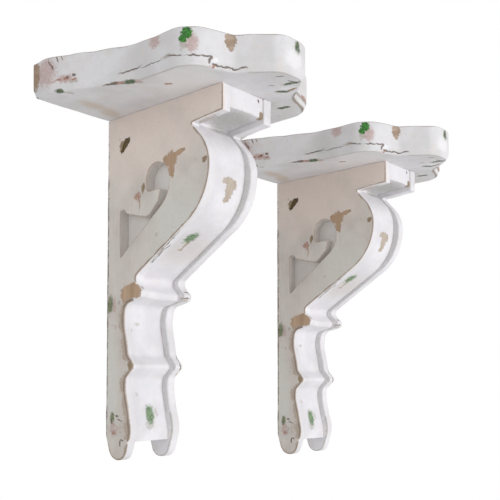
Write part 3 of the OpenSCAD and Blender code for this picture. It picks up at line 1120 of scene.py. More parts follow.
@dataclass(frozen=True)
class WornPaint:
    """Chalk-white paint over coloured undercoats on wood, rubbed and chipped.

    The second coat lies where the piece's second_paint is 1. Edges that the piece
    calls worn show the rub tone, with the line tone next to the edge itself; all
    others keep a thin broken line of the line tone.
    """

    name: str
    coat: Coat
    marks: tuple[Mark, ...]
    squeeze: Triple
    axis: Triple
    second: Coat | None = None
    hairline: float = 0.4
    line_strength: float = 0.35
    line: Tone = Tone(140, 130, 120)
    rub: Tone = Tone(166, 148, 134)
    layers: dict[MarkKind, Layer] = field(default_factory=standard_layers)

    def material(self, place: ShelfPlace, effects: Effects) -> bpy.types.Material:
        """The finish for one shelf's piece.

        Args:
            place: The shelf, whose place the pattern is fixed to.
            effects: The shared effects.

        Returns:
            The material.
        """
        material, draw, shader = new_material(f"{place.name}_{self.name}")
        spot = draw.millimetres((place.centre, 0.0, place.underside))
        colour, height = self._paint(draw, effects, spot)
        colour, gone, dent, fibre = self._marked(draw, effects, spot, colour)
        colour, rubbed = self._rubbed(draw, effects, spot, colour)
        gone = draw.math("MAXIMUM", rubbed, gone)
        dent = draw.math("ADD", dent, draw.math("MULTIPLY", rubbed, 0.15))
        relief = draw.math(
            "ADD", draw.math("MULTIPLY", height, 0.16), draw.math("MULTIPLY", fibre, 0.1)
        )
        relief = draw.math("SUBTRACT", relief, dent)
        draw.give(
            shader,
            {
                "Base Color": colour,
                "Normal": draw.bump(relief, 0.6, MM),
                "Roughness": draw.ramp(gone, 0.0, 1.0, (0.58, 0.82)),
                "Specular IOR Level": 0.35,
            },
        )
        return material

    def _paint(
        self, draw: Drawing, effects: Effects, spot: Socket
    ) -> tuple[Socket, Socket]:
        """The sound paint: its colour, and its height as a share of its thickness."""

        def brushed(coat: Coat) -> bpy.types.Node:
            """One coat."""
            return draw.effect(
                effects.brushed_paint,
                {
                    "Vector": spot,
                    "Squeeze": self.squeeze,
                    "Axis": self.axis,
                    "Light": coat.light.linear(),
                    "Dark": coat.dark.linear(),
                    "Warm": coat.warm.linear(),
                    "Cool": coat.cool.linear(),
                    "Streaks": coat.streaks,
                },
            )

        first = brushed(self.coat).outputs
        if self.second is None:
            return first["Color"], first["Height"]
        other = brushed(self.second).outputs
        share = draw.ramp(draw.attribute("second_paint"), 0.25, 0.75)
        return draw.mix(share, first["Color"], other["Color"]), first["Height"]

    def _marked(
        self, draw: Drawing, effects: Effects, spot: Socket, colour: Socket
    ) -> tuple[Socket, Socket | float, Socket | float, Socket]:
        """Lays the marks over the paint, each kind over the one before.

        Args:
            draw: The material's drawing.
            effects: The shared effects.
            spot: Place, in millimetres.
            colour: Colour of the sound paint.

        Returns:
            Colour, how far the paint is gone, depth of the marks and the wood's fibres.
        """
        ragged = draw.effect(effects.uneven_space, {"Vector": spot, "Amount": 4.6}).outputs[0]
        fleck = draw.ramp(draw.noise(spot, 0.6, 4.0, 0.65).outputs["Fac"], 0.38, 0.64)
        fibre = draw.noise(draw.vector("MULTIPLY", spot, self.squeeze), 1.5).outputs["Fac"]
        gone: Socket | float = 0.0
        dent: Socket | float = 0.0
        for kind, layer in self.layers.items():
            chosen = [mark for mark in self.marks if mark.kind is kind]
            if not chosen:
                continue
            mask = self._mask(draw, effects, chosen, ragged, spot, layer)
            pair = layer.tone.linear(), layer.deep.linear()
            if layer.grained:
                grain = draw.effect(
                    effects.wood_grain,
                    {"Vector": spot, "Squeeze": self.squeeze, "Light": pair[0], "Dark": pair[1]},
                )
                tone, fibre = grain.outputs["Color"], grain.outputs["Height"]
                rim = draw.math("MULTIPLY", draw.ramp(mask, 0.0, 0.45), 0.35)
                colour = draw.mix(rim, colour, self.line.linear())
                gone = draw.math("MAXIMUM", mask, gone)
            else:
                tone = draw.mix(fleck, *pair)
            colour = draw.mix(draw.math("MULTIPLY", mask, layer.strength), colour, tone)
            dent = draw.math("ADD", dent, draw.math("MULTIPLY", mask, layer.depth))
        return colour, gone, dent, fibre

    def _rubbed(
        self, draw: Drawing, effects: Effects, spot: Socket, colour: Socket
    ) -> tuple[Socket, Socket]:
        """Lays the wear of the edges over the colour; gives it with where paint is gone."""
        edge, width = draw.attribute("edge_distance"), draw.attribute("worn_width")
        worn = draw.effect(
            effects.edge_wear, {"Edge": edge, "Width": width, "Vector": spot}
        ).outputs
        thin = draw.effect(
            effects.edge_wear, {"Edge": edge, "Width": self.hairline, "Vector": spot}
        ).outputs["Mask"]
        line = self.line.linear()
        colour = draw.mix(draw.math("MULTIPLY", thin, self.line_strength), colour, line)
        colour = draw.mix(draw.math("MULTIPLY", worn["Mask"], 0.78), colour, self.rub.linear())
        colour = draw.mix(draw.math("MULTIPLY", worn["Core"], 0.7), colour, line)
        return colour, worn["Mask"]

    @staticmethod
    def _mask(
        draw: Drawing,
        effects: Effects,
        marks: Sequence[Mark],
        ragged: Socket,
        spot: Socket,
        layer: Layer,
    ) -> Socket:
        """Where any of these marks lies.

        Args:
            draw: The material's drawing.
            effects: The shared effects.
            marks: Marks of one kind.
            ragged: Places shifted at random, in which the ovals lie.
            spot: Places as they are.
            layer: How the kind is drawn.

        Returns:
            1 on the marks and 0 off them.
        """
        nearest: Socket | None = None
        for mark in marks:
            x, out, z = mark.middle
            away = draw.effect(
                effects.worn_patch,
                {
                    "Vector": ragged,
                    "Middle": (x, -out, z),
                    "Axis": mark.facing.value,
                    "Turn": math.radians(mark.turn),
                    "Reach": mark.reach,
                },
            ).outputs[0]
            nearest = away if nearest is None else draw.math("MINIMUM", nearest, away)
        rim = {"Fineness": layer.fineness, "Ragged": layer.ragged, "Soft": layer.soft}
        return draw.effect(
            effects.ragged_mask, {"Distance": nearest, "Vector": spot, **rim}
        ).outputs[0]


@dataclass(frozen=True)
class CloudyPaint:
    """Thin paint with soft clouds in its colour and gloss."""

    name: str
    clean: Tone
    dull: Tone
    roughness: tuple[float, float]

    def material(self) -> bpy.types.Material:
        """The finish, with clouds in its colour, gloss and relief."""
        material, draw, shader = new_material(self.name)
        spot = draw.millimetres()
        cloud = draw.noise(spot, 0.35, 5.0, 0.65).outputs["Fac"]
        fine = draw.noise(spot, 2.2, 3.0, 0.6).outputs["Fac"]
        share = draw.ramp(cloud, 0.4, 0.68)
        draw.give(
            shader,
            {
                "Base Color": draw.mix(share, self.clean.linear(), self.dull.linear()),
                "Roughness": draw.ramp(share, 0.0, 1.0, self.roughness),
                "Normal": draw.bump(fine, 0.3, 0.1 * MM),
            },
        )
        return material


# ---------------------------------------------------------------- the marks on each piece

WARM, COOL, BLUSH, DULL = MarkKind.WARM, MarkKind.COOL, MarkKind.BLUSH, MarkKind.DULL
RUSSET, BARE, UMBER, MOSS = MarkKind.RUSSET, MarkKind.BARE, MarkKind.UMBER, MarkKind.MOSS
LEAF, PALE_PAINT_AND_HIGHLIGHT, CRACK, KNOT = MarkKind.LEAF, MarkKind.PALE_PAINT_AND_HIGHLIGHT, MarkKind.CRACK, MarkKind.KNOT
FRONT, LEVEL = Facing.FRONT, Facing.LEVEL

PANEL_FACE = 30.5  # distance of the panels' outer faces from the corbel's middle


def on_side(x: float, deep: float, *rows: tuple) -> tuple[Mark, ...]:
    """Marks on an upright face.

    Args:
        x: The face's place.
        deep: Half size of the marks through the face.
        *rows: Kind, distance from the wall and z, half size along each, and the turn
            where there is one.

    Returns:
        The marks.
    """
    return tuple(
        Mark(kind, (x, out, z), (deep, wide, high), *turn)
        for kind, out, z, wide, high, *turn in rows
    )


def on_level(z: float, deep: float, *rows: tuple) -> tuple[Mark, ...]:
    """Marks on a level face.

    Args:
        z: The face's height.
        deep: Half size of the marks through the face.
        *rows: Kind, x and distance from the wall, half size along each, and the turn.

    Returns:
        The marks.
    """
    return tuple(
        Mark(kind, (x, out, z), (long, wide, deep), turn, LEVEL)
        for kind, x, out, long, wide, turn in rows
    )


LEFT_PANEL_MARKS = (
    *on_side(
        -PANEL_FACE,
        3.0,
        (WARM, 46.0, -22.0, 70.0, 40.0),
        (WARM, 128.0, -8.0, 40.0, 20.0),
        (COOL, 92.0, -108.0, 34.0, 34.0, 30.0),
        (COOL, 8.0, -245.0, 9.0, 46.0),
    ),
    *on_side(
        -PANEL_FACE,
        2.0,
        (UMBER, 20.4, -28.2, 3.4, 5.4, -8.0),
        (KNOT, 24.6, -27.4, 8.4, 2.8, 47.0),
        (KNOT, 27.4, -24.2, 4.4, 2.6),
        (BARE, 85.6, -52.0, 8.0, 7.2),
        (BARE, 94.6, -47.4, 9.0, 2.5, 12.0),
        (BARE, 86.3, -60.0, 3.7, 7.4, 4.0),
        (BARE, 79.6, -51.6, 5.0, 2.8, -28.0),
        (RUSSET, 42.0, -76.6, 4.6, 2.7),
        (RUSSET, 43.6, -77.0, 1.9, 4.2),
        (RUSSET, 44.8, -83.5, 0.7, 5.0),
        (UMBER, 49.6, -70.4, 2.1, 4.6, -18.0),
        (BARE, 34.6, -160.8, 14.0, 6.4, -3.0),
        (BARE, 27.6, -164.4, 7.2, 6.8, 14.0),
        (BARE, 37.0, -155.4, 4.0, 2.8),
        (DULL, 17.4, -169.8, 1.7, 2.4),
        (MOSS, 5.0, -171.4, 3.6, 8.0),
        (BLUSH, 10.6, -172.6, 2.0, 6.4),
        (UMBER, 34.4, -227.0, 3.6, 4.8),
        (MOSS, 9.4, -273.4, 2.8, 5.2),
        (BLUSH, 11.2, -284.0, 5.2, 6.2),
        (RUSSET, 11.4, -287.4, 2.6, 1.7),
        (CRACK, 16.2, -272.0, 2.0, 0.8),
        (CRACK, 19.4, -275.4, 4.0, 0.75, -8.0),
        (CRACK, 8.8, -277.0, 0.9, 2.4),
        (CRACK, 22.6, -293.4, 2.4, 0.75),
        (CRACK, 20.8, -296.2, 0.9, 2.8),
    ),
    Mark(UMBER, (-30.5, 126.2, -58.8), (1.5, 3.0, 2.5)),
    Mark(CRACK, (-30.5, -0.4, -160.0), (2.4, 2.5, 168.0)),
    Mark(CRACK, (-27.9, 76.0, -124.9), (0.5, 22.0, 1.0), 31.0),
    Mark(CRACK, (-25.4, 66.0, -131.2), (0.5, 11.0, 1.0), 31.0),
    Mark(CRACK, (-26.6, 84.5, -118.2), (0.6, 4.2, 1.3), 24.0),
    Mark(CRACK, (-24.6, 75.6, -124.4), (0.5, 3.4, 1.5), 38.0),
    Mark(DULL, (-26.4, 70.0, -128.0), (1.6, 5.0, 1.4), 31.0),
    Mark(CRACK, (-26.2, 56.4, -136.4), (0.6, 4.6, 1.2), 26.0),
    Mark(CRACK, (-25.3, 121.6, -95.6), (0.5, 5.5, 1.2), 42.0),
    # painted highlights: white flecks along the slope's arris where light catches the flaking paint
    Mark(PALE_PAINT_AND_HIGHLIGHT, (-29.2, 74.0, -126.0), (0.7, 24.0, 1.6), 31.0),
    Mark(PALE_PAINT_AND_HIGHLIGHT, (-25.8, 79.0, -122.0), (0.9, 8.0, 1.6), 31.0),
    Mark(DULL, (-23.5, 122.0, -23.4), (3.6, 15.0, 1.8)),
    Mark(DULL, (-27.5, 44.0, -158.6), (2.5, 3.0, 2.0)),
)

RIGHT_PANEL_MARKS = (
    *on_side(
        PANEL_FACE,
        2.0,
        (BARE, 60.0, -26.0, 12.0, 3.6, -24.0),
        (BARE, 54.0, -30.0, 5.0, 6.0),
        (BARE, 104.0, -88.0, 5.0, 9.0, 20.0),
        (RUSSET, 98.0, -80.0, 4.0, 3.0),
        (BARE, 31.0, -230.0, 7.0, 6.0),
        (MOSS, 20.0, -140.0, 3.0, 7.0),
        (MOSS, 128.0, -12.0, 6.0, 3.0),
        (BLUSH, 34.0, -66.0, 7.0, 9.0),
        (BLUSH, 12.0, -206.0, 4.0, 9.0),
        (KNOT, 90.0, -40.0, 2.0, 3.0, 20.0),
        (CRACK, 14.0, -286.0, 5.0, 0.9, 14.0),
    ),
    Mark(WARM, (30.5, 40.0, -50.0), (3.0, 50.0, 46.0)),
    # painted shade: grey down the right panel's inner face, in the recess beside the core
    Mark(COOL, (18.0, 112.0, -76.0), (4.4, 44.0, 66.0)),
    Mark(COOL, (18.0, 62.0, -128.0), (4.4, 60.0, 40.0)),
    Mark(COOL, (18.0, 30.0, -200.0), (4.4, 30.0, 66.0)),
    Mark(COOL, (18.0, 24.0, -248.0), (4.4, 30.0, 38.0)),
    Mark(CRACK, (27.4, 45.6, -157.8), (3.6, 2.4, 0.6)),
    Mark(CRACK, (25.2, 48.2, -163.4), (4.4, 2.0, 0.7)),
    Mark(CRACK, (29.6, 31.4, -219.6), (0.6, 4.0, 5.0)),
    Mark(CRACK, (28.0, 36.4, -226.8), (0.6, 3.0, 4.2)),
    Mark(DULL, (24.0, 45.0, -164.6), (4.0, 4.0, 2.4)),
)

CORE_MARKS = (
    Mark(BARE, (4.2, 121.0, -77.0), (4.8, 8.0, 9.6)),
    Mark(BARE, (-0.8, 123.5, -71.2), (5.2, 5.0, 3.0), 12.0, FRONT),
    Mark(BARE, (8.6, 122.5, -73.4), (3.2, 5.0, 4.4)),
    Mark(BARE, (3.2, 118.0, -85.6), (3.4, 5.0, 3.2)),
    Mark(MOSS, (-5.4, 85.0, -116.0), (6.4, 9.0, 4.2), 26.0, FRONT),
    Mark(BARE, (-4.4, 76.5, -120.2), (1.7, 6.0, 4.0), 0.0, FRONT),
    Mark(BARE, (-4.8, 70.5, -124.2), (2.6, 5.0, 1.2), 8.0, FRONT),
    Mark(MOSS, (1.2, 24.5, -271.4), (4.8, 6.0, 9.8)),
    Mark(DULL, (-2.6, 26.4, -281.0), (3.2, 4.0, 4.0)),
    Mark(DULL, (8.6, 24.0, -269.0), (1.6, 4.0, 4.6)),
    Mark(DULL, (-17.4, 24.6, -244.8), (2.8, 4.0, 2.6)),
    Mark(DULL, (-11.0, 21.0, -252.6), (1.6, 4.0, 2.0)),
    Mark(DULL, (-8.4, 16.8, -188.0), (2.6, 4.0, 1.8)),
    Mark(DULL, (-16.6, 17.4, -194.0), (2.2, 4.0, 1.6)),
    Mark(KNOT, (15.5, 144.5, -3.2), (1.3, 3.0, 1.2)),
    Mark(UMBER, (18.8, 143.5, -15.4), (3.0, 5.0, 3.4)),
    Mark(WARM, (0.0, 74.0, -126.0), (26.0, 22.0, 18.0)),
    # painted shade: grey under the block and in the throat below it
    Mark(COOL, (0.0, 126.0, -18.5), (26.0, 20.0, 2.4)),
    Mark(COOL, (10.0, 103.5, -22.5), (12.0, 6.0, 4.0)),
)

BOARD_MARKS = (
    *on_level(
        0.0,
        2.0,
        # painted light: a brighter patch over the middle of the underside
        (COOL, -46.0, 120.0, 22.0, 44.0, 30.0),
        (MOSS, -104.4, 28.8, 4.4, 2.5, 32.0),
        (DULL, -96.8, 33.4, 4.0, 1.8, 32.0),
        (CRACK, -84.8, 75.2, 9.4, 0.9, 70.0),
        (RUSSET, -82.2, 81.0, 4.8, 1.5, 70.0),
        (MOSS, -79.0, 88.8, 5.8, 3.2, 70.0),
        (BLUSH, -74.6, 95.4, 3.6, 2.8, 0.0),
        (RUSSET, -56.0, 109.4, 3.6, 2.0, 45.0),
        (CRACK, -8.0, 186.8, 3.6, 0.8, 48.0),
        (CRACK, 2.2, 170.0, 3.0, 0.7, 49.0),
        (MOSS, 9.6, 184.6, 7.4, 2.4, 76.0),
        (CRACK, 6.8, 187.6, 5.0, 1.0, 24.0),
        (PALE_PAINT_AND_HIGHLIGHT, 15.0, 174.6, 5.4, 2.4, 62.0),
        (MOSS, 18.4, 168.0, 5.4, 2.2, 49.0),
        (UMBER, 20.2, 176.4, 6.4, 1.6, 94.0),
        (MOSS, 49.0, 144.6, 6.4, 2.8, 75.0),
    ),
    *on_level(
        29.5,
        2.5,
        (BARE, 62.0, 60.0, 16.0, 5.0, 12.0),
        (BARE, -30.0, 128.0, 11.0, 4.4, -20.0),
        (BLUSH, -58.0, 38.0, 20.0, 8.0, 8.0),
        (DULL, 6.0, 70.0, 24.0, 7.0, -6.0),
        (MOSS, 24.0, 96.0, 8.0, 3.4, 30.0),
        (CRACK, 4.0, 28.0, 26.0, 1.0, 3.0),
    ),
    # painted shade: darker warm patches on the underside next to the wall
    Mark(WARM, (-66.0, 24.0, 0.0), (13.0, 7.0, 3.0), 0.0, LEVEL),
    Mark(WARM, (-45.0, 20.0, 0.0), (14.0, 7.0, 3.0), -24.0, LEVEL),
    Mark(LEAF, (-73.9, 149.4, 24.4), (3.8, 5.0, 4.8)),
    Mark(LEAF, (-75.6, 147.2, 20.0), (2.4, 3.2, 3.6)),
    Mark(BLUSH, (-71.2, 152.8, 17.0), (4.2, 5.2, 7.4)),
    Mark(DULL, (-75.4, 147.4, 15.6), (2.6, 3.4, 4.4)),
    Mark(BARE, (-43.0, 166.4, 23.6), (4.7, 6.0, 7.8)),
    Mark(UMBER, (-111.0, 1.6, 17.6), (4.0, 8.4, 13.6)),
    Mark(BLUSH, (-110.0, 17.0, 17.6), (5.0, 13.0, 11.0)),
    Mark(BLUSH, (-104.0, 37.6, 9.6), (3.0, 12.0, 3.6)),
    Mark(BLUSH, (-109.0, 20.0, 8.2), (3.0, 13.0, 1.2)),
    Mark(CRACK, (-109.4, 24.0, 22.2), (3.0, 0.6, 6.0), 32.0),
    Mark(CRACK, (-107.4, 29.4, 26.4), (3.0, 0.5, 3.0), 24.0),
    Mark(CRACK, (-105.6, 33.8, 26.8), (3.0, 0.5, 2.4), 30.0),
    Mark(RUSSET, (-106.8, 31.0, 8.9), (3.0, 3.4, 1.0)),
    Mark(RUSSET, (-104.0, 37.6, 9.6), (3.0, 2.6, 1.4)),
    Mark(CRACK, (-104.0, 38.2, 10.0), (3.0, 1.4, 0.7)),
    Mark(CRACK, (-101.0, 44.4, 11.6), (3.0, 1.5, 1.0)),
    Mark(RUSSET, (-101.0, 44.8, 8.4), (3.0, 2.0, 0.9)),
    Mark(DULL, (-101.0, 44.4, 6.6), (3.0, 3.4, 1.2)),
    Mark(BLUSH, (-78.8, 119.0, 25.4), (4.0, 6.0, 5.8)),
    Mark(CRACK, (-82.0, 93.2, 8.4), (5.0, 12.6, 0.65), 7.0),
    Mark(DULL, (-78.4, 133.4, 9.2), (4.0, 6.0, 1.7)),
    Mark(CRACK, (-77.4, 140.0, 8.4), (4.0, 8.0, 0.6), -8.0),
    Mark(CRACK, (-70.5, 153.8, 7.0), (7.4, 6.0, 0.55)),
    Mark(CRACK, (-62.4, 158.8, 7.3), (5.6, 3.4, 0.85)),
    Mark(CRACK, (-58.0, 160.6, 6.4), (1.4, 2.0, 1.7)),
    # painted highlight: a white patch on the lower bevel
    Mark(PALE_PAINT_AND_HIGHLIGHT, (-55.6, 161.4, 5.6), (3.4, 3.0, 2.6)),
    Mark(MOSS, (2.0, 197.0, 23.4), (2.8, 5.0, 5.8)),
    # painted highlight: the nose's corner where the light catches it
    Mark(PALE_PAINT_AND_HIGHLIGHT, (-2.0, 197.0, 13.0), (9.0, 6.0, 7.0)),
    Mark(CRACK, (-59.0, 160.0, 3.6), (1.3, 2.0, 3.0)),
    Mark(CRACK, (-79.0, 115.0, 7.8), (4.0, 12.0, 0.36)),
    Mark(RUSSET, (-54.0, 161.4, 0.8), (4.6, 2.6, 2.2), 30.0, LEVEL),
    Mark(CRACK, (-52.5, 160.6, 2.6), (4.4, 4.0, 0.6)),
    Mark(CRACK, (-45.5, 163.1, 2.8), (4.6, 4.0, 0.6)),
    Mark(CRACK, (-38.2, 167.2, 2.4), (4.0, 4.0, 0.6)),
    Mark(CRACK, (-35.0, 172.4, 3.2), (3.4, 3.4, 0.55)),
    Mark(UMBER, (79.5, 130.0, 20.0), (4.0, 7.0, 5.0)),
    Mark(BLUSH, (111.0, 14.0, 12.0), (4.0, 9.0, 7.0)),
    Mark(RUSSET, (58.0, 161.0, 7.0), (8.0, 4.0, 1.6)),
)


# ---------------------------------------------------------------- the pieces

# The front that panels and core share, from belly to foot, by stations of distance
# from the wall, z and corner radius. The core's lies behind by the recess.
SCROLL: tuple[Triple, ...] = (
    (130.5, -91.5, 52.0),
    (39.0, -147.5, 5.0),
    (40.5, -153.5, 6.0),
    (48.6, -161.5, 3.0),
    (46.5, -166.45, 2.6),
    (25.3, -171.4, 9.0),
    (22.0, -186.5, 34.0),
    (26.6, -206.1, 30.0),
    (28.8, -217.6, 9.0),
    (37.9, -227.4, 3.2),
    (26.2, -237.65, 7.0),
    (25.0, -247.9, 30.0),
    (34.0, -284.9, 26.0),
)
RECESS = 6.5

DOWELS_OUT = (34.0, 82.5)  # distances of the dowels from the wall
DOWEL_BORE = 4.1  # radius of their holes


def dowel_bores() -> list[np.ndarray]:
    """Outlines of the two dowels' holes in a level face."""
    return [circle((0.0, -out), DOWEL_BORE) for out in DOWELS_OUT]


@dataclass
class ShelfBoard:
    """The shaped board: straight ends, hollow wings and a rounded nose, bevelled below."""

    place: ShelfPlace
    effects: Effects
    length: float = 222.0
    thickness: float = 29.5
    bevel_height: float = 6.5
    bevel_depth: float = 3.2
    step: float = 1.3
    half: tuple[Triple, ...] = (
        (111.0, 0.0, 0.8),
        (111.0, 21.0, 26.0),
        (79.5, 95.0, 35.0),
        (78.0, 153.5, 26.0),
        (39.5, 167.0, 9.0),
        (15.0, 197.0, 20.0),
    )
    bore_depth: float = 15.0
    rings: tuple[float, ...] = (1.2, 2.8)

    def build(self) -> bpy.types.Object:
        """Makes the board, its faces, its rounded and bevelled rim and its dowel holes."""
        left = [(-x, -out, r) for x, out, r in self.half]
        right = [(x, -out, r) for x, out, r in reversed(self.half)]
        loop = round_corners([*left, *right], self.step)
        corner = self.half[0][2]
        at_wall = loop[:, 1] > -corner - SLACK
        way = outward(loop)
        reach = 0.5 * self.length - corner
        share = np.clip(loop[:, 0] / reach, -1, 1)
        bevel_way = np.where(at_wall[:, None], np.stack([share, 0 * share], 1), way)
        rim = Rim.rounded(
            [
                (14.0, 0.0, 0.0),
                (self.bevel_depth, 0.0, 2.4),
                (0.0, self.bevel_height, 5.0),
                (0.0, self.thickness, 1.2),
                (8.0, self.thickness, 0.0),
            ],
            self.step,
            self.bevel_height,
            self.bevel_depth,
        )
        uneven = Waviness(height=0.75, length=22.0, seed=5).at(loop)
        upper = np.clip(1.0 + uneven, 0.6, 2.6)
        uneven = Waviness(height=0.35, length=18.0, seed=9).at(loop)
        lower = np.clip(1.0 + uneven, 0.7, 1.5)
        grid = rim.sweep(loop, bevel_way, (lower, upper))
        shell = Shell()
        shell.grid(grid, Plane.LEVEL, rim.edge[:, None])
        holes = dowel_bores()
        under = FlatFace([grid[0, :, :2], *[hole[::-1] for hole in holes]])
        shell.flat(under, 0.0, False, Plane.LEVEL, step=2.2, rings=self.rings, rim=1.4)
        top = FlatFace([grid[-1, :, :2]])
        shell.flat(
            top, self.thickness, True, Plane.LEVEL, step=2.4, rings=self.rings, rim=1.2
        )
        for hole in holes:
            shell.pocket(hole, 0.0, self.bore_depth, Plane.LEVEL, up=False)
        piece = shell.build(
            self.place.node("board_painted"),
            self.place,
            self.place.limits("shelf_board"),
            Waviness(height=0.22, length=34.0, seed=21),
            self.stretches(),
        )
        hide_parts(self.place.node("shelf_board"))
        finish(piece, self.paint().material(self.place, self.effects))
        return piece

    def stretches(self) -> tuple[WornStretch, ...]:
        """Where the board's edges are worn most."""
        top = self.thickness
        return (
            WornStretch((28, 148, -1), (66, 172, 2), 1.2, 5.0),
            WornStretch((24, 172, top - 2), (60, 200, top + 1), 0.9, 6.0),
            WornStretch((64, 64, top - 2), (112, 140, top + 1), 1.2, 8.0),
            WornStretch((-112, -2, -1), (112, 1, top + 1), 0.7, 2.0),
            WornStretch((-112, 4, top - 1), (70, 200, top + 1), 0.6, 3.0),
            WornStretch((-86, 100, -1), (-58, 161, 0.6), 0.13, 4.0),
            WornStretch((-36, 174, -1), (14, 198, 0.6), 0.14, 3.0),
        )

    def paint(self) -> WornPaint:
        """The board's finish, brushed along its length."""
        layers = layers_with(
            {
                BARE: (Tone(190, 172, 156), Tone(160, 138, 120)),
                UMBER: (Tone(178, 154, 130), Tone(150, 124, 100)),
                MOSS: (Tone(84, 106, 66), Tone(38, 64, 28)),
                # painted shade: the warm tint is darker here, for the shade under the board by the
                # wall
                WARM: (Tone(214, 200, 184), Tone(204, 188, 172)),
                # painted light: the cool tint is brighter than the paint, to light the underside
                COOL: (Tone(243, 240, 240), Tone(236, 233, 232)),
            }
        )
        return WornPaint(
            "board_paint",
            coat=Coat(
                light=Tone(230, 229, 232),
                dark=Tone(217, 215, 216),
                warm=Tone(224, 217, 212),
                cool=Tone(214, 217, 217),
                streaks=0.3,
            ),
            marks=BOARD_MARKS,
            squeeze=(0.07, 1.0, 1.0),
            axis=Facing.LEVEL.value,
            hairline=0.0,
            line=Tone(136, 127, 120),
            rub=Tone(184, 174, 165),
            layers=layers,
        )


